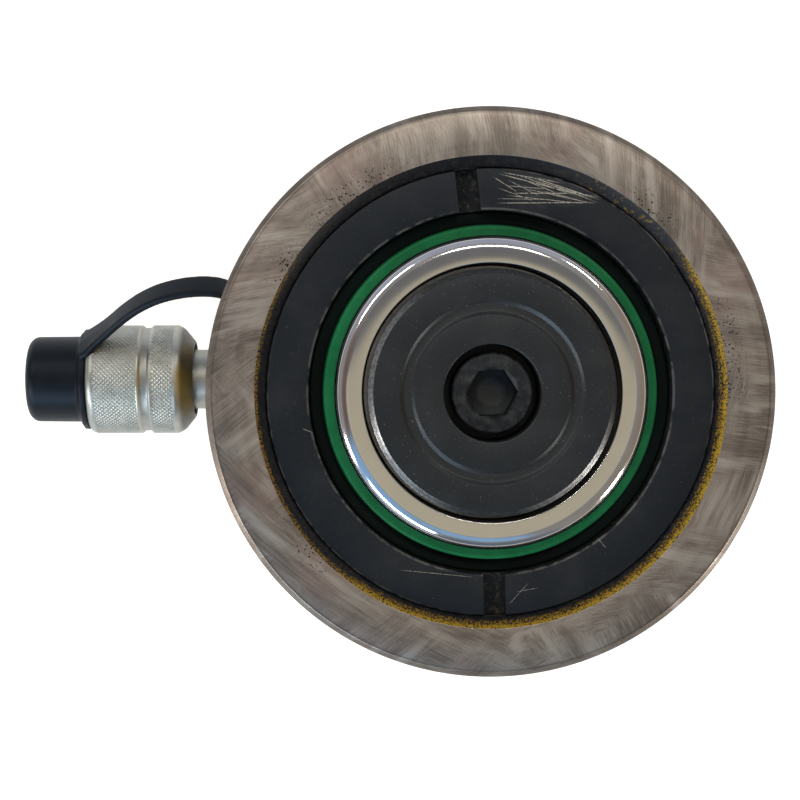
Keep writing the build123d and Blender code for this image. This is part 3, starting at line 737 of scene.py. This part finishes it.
steelFinish = groundSteel()
threadFinish = threadSteel()
enamelFinish = yellowEnamel()
grimeFinish = mouthGrime()
boreFinish = boreSteel()
ringFinish = blackRing()
wiperFinish = greenWiper()
chromeFinish = hardChrome()
saddleFinish = blackSaddle()
screwFinish = blackScrew()
zincFinish = zincPlate()
rubberFinish = blackRubber()
bareFinish = plainMetal("turned_steel", (0.36, 0.35, 0.33), (0.52, 0.51, 0.49), 0.24)
springFinish = plainMetal("spring_steel", (0.07, 0.07, 0.075), (0.18, 0.17, 0.17), 0.30)
guideFinish = plainPolymer("filled_nylon", (0.20, 0.10, 0.045), (0.34, 0.19, 0.09), 0.45)
sealFinish = plainPolymer("seal_urethane", (0.34, 0.22, 0.02), (0.48, 0.33, 0.05), 0.28)
backupFinish = plainPolymer("backup_acetal", (0.70, 0.68, 0.60), (0.82, 0.80, 0.74), 0.35)
report("materials made")


# Barrel

barrel = {
    "footChamfer": 2.0,
    "rimChamfer": 1.2,
    "collarLength": 55.0,
    "reliefWidth": 3.0,
    "reliefDepth": 1.4,
    "threadPitch": 25.4 / 12,
    "mouthChamfer": 2.5,
    "boreRadius": 47.6,
    "floor": 27.0,
    "glandBottom": 177.9,
    "glandPlay": 0.1,
    "portFaceRadius": 13.0,
    "portFaceDepth": 1.5,
    "portRadius": 8.6,
    "portTaper": 0.4,
    "portFloor": 51,
    "galleryRadius": 3.5,
    "holeCircle": 95.2,
    "holeRadius": 6.35,
    "holeChamfer": 0.9,
    "holeDepth": 19.0,
    "columns": 240,
}


def threadDepthAt(phase, pitch):
    # The basic profile over one pitch: a root of a quarter, two 30-degree flanks and a crest of an eighth.
    depth = (1 - 1 / 8 - 1 / 4) * pitch / 2 / math.tan(math.radians(30))
    fromRoot = abs(phase - 0.5)
    return depth * min(1, max(0, (7 / 16 - fromRoot) / (7 / 16 - 1 / 8)))


def makeBarrel():
    s = barrel
    pitch = s["threadPitch"]
    top = rimTop - s["rimChamfer"]
    reliefTop = rimTop - s["collarLength"]
    reliefBottom = reliefTop - s["reliefWidth"]
    reliefRadius = barrelRadius - s["reliefDepth"]
    phases = [0.5 + step for step in (-7 / 16, -0.41, -0.15, -1 / 8, 0, 1 / 8, 0.15, 0.41, 7 / 16)]
    turns = math.ceil((top - reliefTop) / pitch) + 2
    below = roundCorners([
        (0, 0), (barrelRadius - s["footChamfer"], 0, 0.4), (barrelRadius, s["footChamfer"], 0.4),
        (barrelRadius, reliefBottom, 0.35), (reliefRadius, reliefBottom + 0.5, 0.3),
        (reliefRadius, reliefTop, 0.2), (barrelRadius, reliefTop),
    ])
    glandRadius = ringRadius + s["glandPlay"]
    above = roundCorners([
        (barrelRadius, top), (barrelRadius - s["rimChamfer"], rimTop, 0.35),
        (glandRadius + s["mouthChamfer"], rimTop, 0.25), (glandRadius, rimTop - s["mouthChamfer"], 0.2),
        (glandRadius, s["glandBottom"]), (s["boreRadius"], s["glandBottom"]),
        (s["boreRadius"], s["floor"], 1.5), (0, s["floor"]),
    ])

    def outline(angle):
        rows = []
        lead = pitch * angle / (2 * math.pi)
        for turn in range(-1, turns):
            for phase in phases:
                height = reliefTop - s["reliefWidth"] / 2 + (turn + phase - 0.5) * pitch + lead
                held = min(max(height, reliefTop), top)
                reach = min(1, (top - held) / (0.1 * pitch))
                phaseHere = (phase + (held - height) / pitch) % 1
                rows.append((barrelRadius - threadDepthAt(phaseHere, pitch) * reach, held))
        return below + rows + above

    piece = finishMesh("barrel_with_collar_thread", spun(outline, s["columns"]), sharp=34)
    face = barrelRadius - s["portFaceDepth"]
    port = lathe("port_cutter", [
        (0, s["boreRadius"] - 6), (s["galleryRadius"], s["boreRadius"] - 6),
        (s["galleryRadius"], s["boreRadius"] + 2), (s["portRadius"] - s["portTaper"], s["portFloor"]),
        (s["portRadius"], face), (s["portFaceRadius"], face, 0.4),
        (s["portFaceRadius"], barrelRadius + 4), (0, barrelRadius + 4),
    ], 72, alongCoupler())
    cut(piece, port, sharp=34)
    for side in (-1, 1):
        hole = lathe("hole_cutter", [
            (0, -3), (s["holeRadius"] + s["holeChamfer"] + 3, -3), (s["holeRadius"], s["holeChamfer"]),
            (s["holeRadius"], s["holeDepth"] - 2), (0, s["holeDepth"]),
        ], 48, Matrix.Translation((0, side * s["holeCircle"] / 2, 0)))
        cut(piece, hole, sharp=34)
    return piece


def barrelFace(centre, normal):
    # 0 enamel, 1 ground rim, 2 collar thread, 3 mouth, 4 bore
    radius = math.hypot(centre.x, centre.y)
    if radius < ringRadius + 0.3 and centre.z > 20:
        return 4
    if centre.z > rimTop - 2.9 and radius < ringRadius + barrel["mouthChamfer"] + 0.25 and normal.z < 0.98:
        return 3
    if centre.z > rimTop - barrel["rimChamfer"] - 0.02:
        return 1
    if centre.z > rimTop - barrel["collarLength"] - barrel["reliefWidth"] + 0.6:
        return 2
    if radius < barrelRadius - 3 and (centre.z > 0.5 or normal.z > 0.1):
        return 4
    return 0


body = makeBarrel()
wear(body, enamelFinish, steelFinish, threadFinish, grimeFinish, boreFinish)
paintFaces(body, barrelFace)
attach(body, "barrel")
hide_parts("cylinder_body")
report("barrel made")


# Stop ring and wiper

gland = {
    "bottom": 171.9,
    "pilotRadius": 47.5,
    "pilotTop": 177.9,
    "bore": 35.1,
    "pocketDepth": 12.5,
    "slotDepth": 3.5,
    "slotLength": 16,
    "edge": 0.35,
    "bandBottom": 179.9,
    "bandTop": 199.9,
    "bandRadius": 38.1,
    "columns": 256,
}


def makeStopRing():
    s = gland
    floor = ringTop - s["pocketDepth"]
    piece = lathe("gland_stop_ring", [
        (s["bore"], s["bottom"]), (s["pilotRadius"], s["bottom"], 0.5), (s["pilotRadius"], s["pilotTop"]),
        (ringRadius, s["pilotTop"], 0.6), (ringRadius, ringTop, s["edge"]),
        (wiperRadius + 0.02, ringTop, 0.5), (wiperRadius + 0.02, floor), (s["bore"], floor),
        (s["bore"], s["bandTop"]), (s["bandRadius"], s["bandTop"]), (s["bandRadius"], s["bandBottom"]),
        (s["bore"], s["bandBottom"]),
    ], s["columns"], steps=4)
    slot = Matrix.Diagonal((s["slotLength"], ringSteel["slotWidth"], 2 * s["slotDepth"], 1))
    middle = (ringRadius + wiperRadius) / 2
    for turn in ringSteel["slotAngles"]:
        work = bmesh.new()
        place = Matrix.Rotation(math.radians(turn), 4, "Z") @ Matrix.Translation((middle, 0, ringTop))
        bmesh.ops.create_cube(work, size=1, matrix=place @ slot)
        bmesh.ops.bevel(work, geom=list(work.edges), offset=0.25, segments=2, affect="EDGES")
        cut(piece, finishMesh("slot_cutter", work), sharp=34)
    return piece


stopRing = makeStopRing()
wear(stopRing, ringFinish)
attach(stopRing, "barrel")
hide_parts("stop_ring")

wiper = {"bottom": 208.0, "bodyTop": 216.0, "lip": 2.35, "tip": 1.5, "groove": 0.7}


def makeWiper():
    s = wiper
    inner = plungerRadius + 0.05
    return lathe("green_wiper_ring", [
        (inner + 0.6, s["bottom"]), (wiperRadius, s["bottom"], 0.5), (wiperRadius, s["bodyTop"], 0.6),
        (inner + s["lip"] + s["groove"], s["bodyTop"] - 0.2, 0.4),
        (inner + s["lip"], s["bodyTop"] - 0.6, 0.4), (inner + s["tip"] + 0.85, wiperTop, 0.75),
        (inner, wiperTop - 0.55, 0.2), (inner + 0.05, s["bodyTop"] + 0.6), (inner + 0.6, s["bodyTop"] - 1),
    ], 240, steps=6)


wiperRing = makeWiper()
wear(wiperRing, wiperFinish)
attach(wiperRing, "barrel")
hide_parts("wiper_ring")
report("gland made")


# Plunger, saddle and screw

plungerSizes = {
    "foot": 33.3,
    "threadRadius": 30.0,
    "threadTop": 63.3,
    "hollow": 25.0,
    "crown": 165.0,
    "edgeRound": 3.2,
    "pocketRadius": 28.65,
    "pocketDepth": 8.0,
    "spigotRadius": 16.05,
    "spigotDepth": 12.3,
    "screwHole": 6.0,
    "screwHoleFloor": 180.0,
    "chromeFrom": 64,
}


def makePlunger():
    s = plungerSizes
    seat = plungerTop - s["pocketDepth"]
    return lathe("chromed_plunger", [
        (s["hollow"], s["foot"]), (s["threadRadius"], s["foot"], 0.8), (s["threadRadius"], s["threadTop"]),
        (plungerRadius, s["threadTop"], 0.4), (plungerRadius, plungerTop, s["edgeRound"]),
        (s["pocketRadius"], plungerTop, 0.25), (s["pocketRadius"], seat, 0.4), (s["spigotRadius"], seat, 0.3),
        (s["spigotRadius"], seat - s["spigotDepth"]), (s["screwHole"], seat - s["spigotDepth"]),
        (s["screwHole"], s["screwHoleFloor"]), (0, s["screwHoleFloor"] - 3), (0, s["crown"]),
        (s["hollow"], s["crown"], 1.0),
    ], 256, steps=10)


plungerPiece = makePlunger()
wear(plungerPiece, chromeFinish, bareFinish)


def plungerFace(centre, normal):
    # 0 chrome, 1 turned steel
    outside = math.hypot(centre.x, centre.y) > plungerSizes["pocketRadius"] + 0.01
    return 0 if outside and centre.z > plungerSizes["chromeFrom"] else 1


paintFaces(plungerPiece, plungerFace)
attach(plungerPiece, "plunger")
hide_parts("plunger")

saddleSizes = {
    "spigotBottom": 205.0,
    "spigotRadius": 16.0,
    "seat": 217.0,
    "chamfer": 1.2,
    "grooveOuter": 20.4,
    "grooveInner": 17.2,
    "grooveDepth": 0.8,
    "pocketRadius": 10.8,
    "pocketFloor": 212.5,
    "hole": 6.3,
}


def makeSaddle():
    s = saddleSizes
    top = saddleTop
    low = top - s["grooveDepth"]
    return lathe("load_saddle", [
        (s["hole"], s["spigotBottom"]), (s["spigotRadius"], s["spigotBottom"], 0.6),
        (s["spigotRadius"], s["seat"]), (saddleRadius, s["seat"], 0.4),
        (saddleRadius, top - s["chamfer"], 0.2), (saddleRadius - s["chamfer"], top, 0.2),
        (s["grooveOuter"], top, 0.25), (s["grooveOuter"] - 0.8, low, 0.45),
        (s["grooveInner"] + 0.8, low, 0.45), (s["grooveInner"], top, 0.25), (s["pocketRadius"], top, 0.3),
        (s["pocketRadius"], s["pocketFloor"]), (s["hole"], s["pocketFloor"]),
    ], 256, steps=4)


saddle = makeSaddle()
wear(saddle, saddleFinish)
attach(saddle, "plunger")
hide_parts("saddle")

screwSizes = {
    "seat": 212.5,
    "length": 30.0,
    "shank": 6.0,
    "pitch": 1.75,
    "threadDepth": 0.9,
    "key": 10.0,
    "keyDepth": 6.0,
    "pointDepth": 2.8,
    "socketTurn": 2.7,
}


def makeScrew():
    s = screwSizes
    foot = s["seat"] - s["length"]
    rows = []
    for tooth in range(int((s["length"] - 6) / s["pitch"])):
        z = foot + 1.2 + tooth * s["pitch"]
        rows += [(s["shank"] - s["threadDepth"], z), (s["shank"], z + 0.75), (s["shank"], z + 1.0)]
    piece = lathe("saddle_cap_screw", [
        (0, foot), (s["shank"] - 1.1, foot), *rows, (s["shank"], s["seat"], 0.2),
        (screwRadius, s["seat"], 0.2), (screwRadius, screwTop, 0.7), (0, screwTop),
    ], 96, steps=4)
    floor = screwTop - s["keyDepth"]
    above = screwTop + 1
    cut(piece, prism("key_cutter", 6, s["key"], floor, screwTop + 2, math.radians(90 + s["socketTurn"])))
    mouth = s["key"] / math.sqrt(3) + 0.1
    cut(piece, lathe("mouth_cutter", [(0, screwTop - mouth), (mouth + 1, above), (0, above)], 64))
    tip = s["key"] / 2 - 0.1
    lip = floor + 0.05
    cut(piece, lathe("point_cutter", [(0, floor - s["pointDepth"]), (tip, lip), (0, lip)], 64))
    return piece


screw = makeScrew()
wear(screw, screwFinish)
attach(screw, "plunger")
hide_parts("saddle_screw")
report("plunger, saddle and screw made")


# Coupler

coupler = {
    "portFace": 62.0,
    "threadLength": 12.5,
    "threadRadius": 8.55,
    "threadPitch": 25.4 / 18,
    "hexBack": 70.2,
    "hexFlats": 22.2,
    "hexLength": 6.8,
    "neckRadius": 9.6,
    "noseBack": 88.0,
    "noseRadius": 12.4,
    "gallery": 3.5,
    "chamberRadius": 6.6,
    "chamberDepth": 17.5,
    "seatRadius": 8.0,
    "seatLength": 8.5,
    "grooveBack": 83.65,
    "grooveFront": 85.05,
    "grooveDepth": 0.8,
}


def makeCouplerBody():
    s = coupler
    neckBack = s["hexBack"] + s["hexLength"]
    threadEnd = s["portFace"] - s["threadLength"]
    grooveRadius = s["neckRadius"] - s["grooveDepth"]
    seatBack = couplerFront - s["seatLength"]
    chamberBack = couplerFront - s["chamberDepth"]
    teeth = []
    for tooth in range(int((s["threadLength"] + 4) / s["threadPitch"])):
        z = threadEnd + 0.6 + tooth * s["threadPitch"]
        radius = s["threadRadius"] - max(0, s["portFace"] - z) / 32
        teeth += [(radius - 0.75, z), (radius, z + 0.6), (radius, z + 0.75)]
    piece = lathe("coupler_body_half", [
        (s["gallery"], threadEnd), (s["threadRadius"] - 1.2, threadEnd), *teeth,
        (s["threadRadius"], s["hexBack"] - 1), (s["threadRadius"], neckBack), (s["neckRadius"], neckBack),
        (s["neckRadius"], s["grooveBack"]), (grooveRadius, s["grooveBack"]), (grooveRadius, s["grooveFront"]),
        (s["neckRadius"], s["grooveFront"]), (s["neckRadius"], s["noseBack"]),
        (s["noseRadius"], s["noseBack"], 0.4), (s["noseRadius"], couplerFront, 1.0),
        (s["seatRadius"], couplerFront, 0.3), (s["seatRadius"], seatBack), (s["chamberRadius"], seatBack),
        (s["chamberRadius"], chamberBack), (s["gallery"], chamberBack),
    ], 120, alongCoupler())
    nut = prism("coupler_nut", 6, s["hexFlats"], s["hexBack"], neckBack, math.radians(90))
    corner = s["hexFlats"] / math.sqrt(3)
    inner = s["gallery"] + 0.5
    back = s["hexBack"] - 0.1
    front = neckBack + 0.1
    dome = lathe("dome_cutter", [
        (inner, back), (corner - 1.25, back), (corner + 0.2, s["hexBack"] + 0.75),
        (corner + 0.2, neckBack - 0.75), (corner - 1.25, front), (inner, front),
    ], 96)
    cut(nut, dome, "INTERSECT")
    nut.data.transform(Matrix.Scale(1 / mm, 4))
    nut.data.transform(alongCoupler())
    nut.data.transform(Matrix.Scale(mm, 4))
    cut(piece, nut, "UNION")
    return piece


couplerPiece = makeCouplerBody()
wear(couplerPiece, zincFinish)
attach(couplerPiece, "barrel")
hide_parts("coupler_body")

sleeveSizes = {
    "pocketRadius": 11.6,
    "backRadius": 12.4,
    "shoulder": 4.2,
    "grooveFromMouth": 17.7,
    "grooveWidth": 2.0,
    "grooveDepth": 0.8,
    "wallBack": 85.4,
    "wallFront": 87.8,
    "neckBore": 9.7,
    "threadRadius": 13.5,
    "threadPitch": 2.0,
    "threadDepth": 0.9,
    "frontRound": 2.6,
    "knurls": 76,
    "knurlDepth": 0.26,
    "knurlSlope": 1.6,
    "knurlColumns": 6,
    "knurlInset": 1.2,
}


def makeSleeve():
    s = sleeveSizes
    grooveFront = sleeveFront - s["grooveFromMouth"]
    grooveBack = grooveFront - s["grooveWidth"]
    grooveRadius = sleeveRadius - s["grooveDepth"]
    threadRoot = s["threadRadius"] + s["threadDepth"]
    count = s["knurls"] * s["knurlColumns"]
    pitch = 2 * math.pi * sleeveRadius / s["knurls"]
    bands = [
        (sleeveBack + s["shoulder"] + s["knurlInset"], grooveBack - s["grooveDepth"] - 0.25),
        (grooveFront + s["grooveDepth"] + 0.25, sleeveFront - s["frontRound"] + 0.4),
    ]
    lead = roundCorners([
        (s["pocketRadius"], sleeveBack), (s["backRadius"], sleeveBack, 0.25),
        (sleeveRadius, sleeveBack + s["shoulder"], 4.4), (sleeveRadius, bands[0][0]),
    ])
    middle = roundCorners([
        (sleeveRadius, bands[0][1]), (sleeveRadius, grooveBack - s["grooveDepth"], 0.15),
        (grooveRadius, grooveBack, 0.3), (grooveRadius, grooveFront, 0.3),
        (sleeveRadius, grooveFront + s["grooveDepth"], 0.15), (sleeveRadius, bands[1][0]),
    ])
    teeth = []
    turns = int((sleeveFront - s["wallFront"] - 3) / s["threadPitch"])
    for tooth in range(turns):
        z = sleeveFront - 1.4 - tooth * s["threadPitch"]
        teeth += [(s["threadRadius"], z), (threadRoot, z - 0.75), (threadRoot, z - 1.25),
                  (s["threadRadius"], z - 1.9)]
    tail = roundCorners([
        (sleeveRadius, bands[1][1]), (sleeveRadius, sleeveFront, s["frontRound"]),
        (threadRoot, sleeveFront, 0.2), *teeth, (s["threadRadius"], s["wallFront"]),
        (s["neckBore"], s["wallFront"]), (s["neckBore"], s["wallBack"]), (s["pocketRadius"], s["wallBack"]),
    ], 8)

    def knurled(angle, low, high):
        rows = []
        steps = round((high - low) / pitch * s["knurlColumns"])
        for step in range(1, steps):
            out = low + (high - low) * step / steps
            around = angle / (2 * math.pi) * s["knurls"]
            along = (out - low) / pitch
            one = abs((around + along) % 1 - 0.5) * 2
            two = abs((around - along) % 1 - 0.5) * 2
            hill = min(1, s["knurlSlope"] * min(1 - one, 1 - two))
            edge = min(1, (out - low) / 0.5, (high - out) / 0.5)
            rows.append((sleeveRadius - s["knurlDepth"] * (1 - hill) * edge, out))
        return rows

    def outline(angle):
        return lead + knurled(angle, *bands[0]) + middle + knurled(angle, *bands[1]) + tail

    return finishMesh("knurled_sleeve", spun(outline, count), alongCoupler(), 30)


sleeve = makeSleeve()
wear(sleeve, zincFinish)
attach(sleeve, "sleeve")
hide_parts("coupler_sleeve")
report("coupler made")


# Dust cap and strap

capSizes = {
    "plugBack": 105.15,
    "plugRadius": 12.95,
    "ribRadius": 13.2,
    "hollowRadius": 9.75,
    "wall": 3.2,
    "flangeRadius": 16.2,
    "flange": 1.5,
    "cupRadius": 13.85,
    "endRound": 3.3,
}


def makeCap():
    s = capSizes
    back = sleeveFront + 0.05
    ribs = []
    for rib in (1, 2, 3):
        z = s["plugBack"] + 3 * rib
        ribs += [(s["plugRadius"], z - 0.9, 0.2), (s["ribRadius"], z, 0.35), (s["plugRadius"], z + 0.9, 0.2)]
    return lathe("rubber_dust_cap", [
        (s["hollowRadius"], s["plugBack"], 0.5), (s["plugRadius"] - 0.3, s["plugBack"], 0.8), *ribs,
        (s["plugRadius"], back), (s["flangeRadius"], back, 0.4), (s["flangeRadius"], back + s["flange"], 0.6),
        (s["cupRadius"], back + 2.9, 0.8), (s["cupRadius"] - 0.15, capFront - 0.35, s["endRound"]),
        (s["cupRadius"] - 6, capFront - 0.12, 2.5), (0, capFront), (0, capFront - s["wall"]),
        (s["hollowRadius"], capFront - s["wall"], 2.5),
    ], 160, alongCoupler(), sharp=50, steps=7)


cap = makeCap()
wear(cap, rubberFinish)
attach(cap, "cap")
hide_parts("dust_cap")

strap = {
    "tilt": 45.0,
    "width": 8.0,
    "thickness": 2.5,
    "eyeInner": 8.85,
    "eyeOuter": 11.4,
    "eyeWidth": 5.0,
    "flare": 1.8,
    "flareFrom": 107.5,
    "flareLength": 9,
    "flareRound": 17,
    "sides": 16,
    "boxThick": 0.45,
    "boxWide": 0.28,
    "route": [(66.1, 10.6), (66.3, 20), (66.8, 31), (68.6, 37.2), (72.6, 40.3), (78.0, 41.1), (84.6, 40.4),
              (91.7, 38.1), (98.0, 34.4), (103.6, 29.6), (108.4, 24.6), (113.6, 19.6), (117.6, 16.2),
              (118.6, 15.4)],
    "voxel": 0.42,
}


def boxed(value, power):
    # A low power squares a circle's sine or cosine up into a rounded box.
    return math.copysign(abs(value) ** power, value)


def makeStrap():
    s = strap
    tilt = math.radians(s["tilt"])
    outward = Vector((-1, 0, 0))
    away = Vector((0, math.cos(tilt), math.sin(tilt)))
    across = outward.cross(away)
    axis = Vector((0, 0, portHeight))
    route = smoothCurve([(d, r, 0) for d, r in s["route"]], 8)
    half = s["thickness"] / 2
    wide = s["width"] / 2
    rings = []
    for point, along in zip(route, directions(route)):
        normal = Vector((-along.y, along.x, 0))
        share = min(1, max(0, (point.x - s["flareFrom"]) / s["flareLength"]))
        spread = 1 + s["flare"] / wide * share * share
        ring = []
        for k in range(s["sides"]):
            turn = 2 * math.pi * k / s["sides"]
            x = boxed(math.cos(turn), s["boxThick"]) * half
            y = boxed(math.sin(turn), s["boxWide"]) * wide * spread
            flat = point + normal * x - Vector((0, share * y * y / (2 * s["flareRound"]), 0))
            ring.append(axis + outward * flat.x + away * flat.y + across * y)
        rings.append(ring)
    piece = finishMesh("cap_strap_band", skin(rings, capped=True))
    eyeFront = eyeBack + s["eyeWidth"]
    eye = lathe("eye", [
        (s["eyeInner"], eyeBack, 0.5), (s["eyeOuter"], eyeBack, 0.9), (s["eyeOuter"], eyeFront, 0.9),
        (s["eyeInner"], eyeFront, 0.5),
    ], 96, alongCoupler())
    cut(piece, eye, "UNION")
    remesh = piece.modifiers.new("remesh", "REMESH")
    remesh.mode = "VOXEL"
    remesh.voxel_size = s["voxel"] * mm
    soft = piece.modifiers.new("soft", "SMOOTH")
    soft.factor = 0.5
    soft.iterations = 4
    bakeModifiers(piece)
    smoothBy(piece, 180)
    return piece


strapPiece = makeStrap()
wear(strapPiece, rubberFinish)
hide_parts("cap_strap")
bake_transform(strapPiece)
report("cap and strap made")


# Springs as true helixes

def helix(radius, wire, bottom, top, coils, perCoil=28):
    points = []
    total = round(coils * perCoil)
    low = bottom + wire / 2
    high = top - wire / 2
    for index in range(total + 1):
        share = index / total
        turn = 2 * math.pi * coils * share
        points.append(Vector((radius * math.cos(turn), radius * math.sin(turn), low + (high - low) * share)))
    return points


springSizes = {"wire": 8.0, "sides": 14}
low, high = lowOf("return_spring"), highOf("return_spring")
coils = int((high.z - low.z) / springSizes["wire"])
wireUsed = springSizes["wire"] * 0.98
spring = sweep(
    "return_spring_coil",
    helix(high.x - wireUsed / 2, wireUsed, low.z, high.z, coils - 1),
    roundSection(wireUsed / 2, springSizes["sides"]),
)
wear(spring, springFinish)
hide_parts("return_spring")
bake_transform(spring)

valveSpring = {"wire": 0.8, "coils": 5}
low, high = lowOf("poppet_spring"), highOf("poppet_spring")
smallSpring = sweep(
    "poppet_spring_coil",
    helix((high.y - low.y) / 2 - valveSpring["wire"] / 2, valveSpring["wire"], -high.x, -low.x,
          valveSpring["coils"], 24),
    roundSection(valveSpring["wire"] / 2, 8), alongCoupler(),
)
wear(smallSpring, springFinish)
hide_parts("poppet_spring")
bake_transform(smallSpring)
report("springs made")


# The hidden solids keep their shapes and get their finishes

hiddenPieces = [
    (bareFinish, ["piston_head", "seal_retainer", "upper_spring_anchor", "lower_spring_anchor",
                  "valve_seat", "coupler_poppet", "poppet_guide"]),
    (guideFinish, ["gland_bearing", "piston_bearing"]),
    (sealFinish, ["piston_seal", "poppet_seal"]),
    (backupFinish, ["seal_backup_ring"]),
    (springFinish, ["piston_snap_ring", "sleeve_snap_ring"]),
    (screwFinish, ["anchor_screw"]),
]
for finish, nodes in hiddenPieces:
    for node in nodes:
        wear(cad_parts[node], finish)


# Floor, lights and camera

# Size and drop are in metres; the floor fades to the backdrop's white between two distances.
stage = {
    "size": 60,
    "drop": 0.0002,
    "glow": 0.62,
    "backdrop": 1.0,
    "fade": (500, 1600),
    "mirrored": 0.6,
}


def makeFloor():
    s = stage
    bpy.ops.mesh.primitive_plane_add(size=s["size"], location=(0, 0, -s["drop"]))
    floor = bpy.context.object
    floor.name = "pale_floor"
    f = Finish("pale_floor", Roughness=0.9)
    f.feed("Base Color", (0.82, 0.82, 0.81))
    shade = Link(f, f.shader.outputs[0])
    glow = f.add("Emission", values={"Color": (1, 1, 1), "Strength": s["glow"]})
    backdrop = f.add("Emission", values={"Color": (1, 1, 1), "Strength": s["backdrop"]})
    far = f.between(f.polar()[0], *s["fade"])
    clear = f.add("MixShader", values=[far, f.add("AddShader", values=[glow, shade]), backdrop])
    seen, mirrored = f.sightRays()
    seen = seen.orMore(mirrored * s["mirrored"])
    both = f.add("MixShader", values=[seen, shade, clear])
    output = next(n for n in f.tree.nodes if n.type == "OUTPUT_MATERIAL")
    f.tree.links.new(both.socket, output.inputs[0])
    floor.data.materials.append(f.material)


def softLight(name, place, aim, size, power, colour):
    data = bpy.data.lights.new(name, "AREA")
    data.shape = "RECTANGLE"
    data.size, data.size_y = size
    data.energy = power
    data.color = colour
    lamp = bpy.data.objects.new(name, data)
    bpy.context.scene.collection.objects.link(lamp)
    lamp.location = place
    lamp.rotation_euler = (Vector(aim) - Vector(place)).to_track_quat("-Z", "Y").to_euler()


room = {
    "low": (0.20, 0.195, 0.19),
    "wall": (0.30, 0.29, 0.29),
    "high": (0.27, 0.25, 0.23),
    "cream": (0.50, 0.46, 0.36),
    "grey": (0.165, 0.165, 0.175),
    "north": (0.36, 0.38, 0.45),
    "west": (0.17, 0.115, 0.100),
    "east": (0.27, 0.22, 0.170),
    "window": (0.26, 0.44, 0.68),
    "dusk": (0.13, 0.16, 0.20),
}


def makeWorld():
    s = room
    world = bpy.data.worlds.new("studio")
    bpy.context.scene.world = world
    sky = Tree(world)
    way = sky.add("TexCoord", out=0)
    x, y, z = sky.split(way)
    sky.colour = sky.blend(sky.between(z, 0.05, 0.35), s["low"], s["wall"])
    sky.layer(sky.between(z, 0.45, 0.75), s["high"])
    sky.layer(sky.between(y, 0.15, 0.75) * sky.between(z, 0.95, 0.5), s["north"])
    sky.layer(sky.facing(way, 180, 22, 18) * sky.between(z, 0.45, 0.8), s["west"])
    sky.layer(sky.between(x, 0.35, 0.8), s["east"])
    sky.layer(sky.facing(way, 272, 22, 12) * sky.between(z, 0.7, 0.4), s["dusk"])
    pane = sky.facing(way, 226, 22, 7) * sky.between(z, 0.08, 0.16)
    pane = pane.orMore(sky.facing(way, 268, 22, 6) * sky.between(z, 0.62, 0.72))
    sky.layer(pane * sky.between(z, 0.96, 0.93), s["window"])
    ceiling = sky.blend(sky.between(y, -0.005, 0.03), s["cream"], s["grey"])
    sky.layer(sky.between(z, 0.945, 0.975), ceiling)
    seen, mirrored = sky.sightRays()
    seen = seen.orMore(mirrored * stage["mirrored"] * sky.between(z, 0.10, 0.02))
    sky.layer(seen, (1, 1, 1))
    shade = sky.add("Background", values={"Color": sky.colour, "Strength": stage["backdrop"]})
    output = sky.tree.nodes.new("ShaderNodeOutputWorld")
    sky.tree.links.new(shade.socket, output.inputs[0])


makeFloor()
makeWorld()
softLight("window_low", (-0.78, -1.15, 0.85), (0, 0, 0.15), (0.8, 0.40), 9, (0.78, 0.90, 1.0))
softLight("lamp_right", (1.0, -0.72, 0.50), (0, 0, 0.18), (0.22, 0.30), 5, (1.0, 0.97, 0.92))
softLight("lamp_left", (-1.1, -0.50, 0.50), (0, 0, 0.18), (0.22, 0.30), 4, (1.0, 0.97, 0.92))
softLight("ceiling_side", (-0.9, 0.9, 1.3), (0, 0, 0.2), (0.7, 0.14), 5, (1.0, 0.96, 0.90))
softLight("ceiling_front", (0.10, 0.62, 1.50), (0, 0, 0.2), (0.45, 0.12), 2.4, (1.0, 0.96, 0.90))
softLight("lamp_far", (0.85, 0.95, 0.95), (0, 0, 0.2), (0.30, 0.10), 2.5, (1.0, 0.98, 0.95))

# The camera looks down on the plunger end with the part's Y up in the picture.
view = {"lens": 81.56, "sensor": 36, "place": (-0.0277, 0.0095, 0.6238), "aim": (-0.0203, -0.0016, 0.2225)}
cameraData = bpy.data.cameras.new("camera")
cameraData.sensor_width = view["sensor"]
cameraData.lens = view["lens"]
cameraData.clip_start = 0.01
camera = bpy.data.objects.new("camera", cameraData)
bpy.context.scene.collection.objects.link(camera)
camera.location = view["place"]
back = (camera.location - Vector(view["aim"])).normalized()
right = Vector((0, 1, 0)).cross(back).normalized()
camera.rotation_euler = Matrix((right, back.cross(right), back)).transposed().to_euler()
bpy.context.scene.camera = camera
bpy.context.scene.view_settings.view_transform = "Standard"
report("stage set")
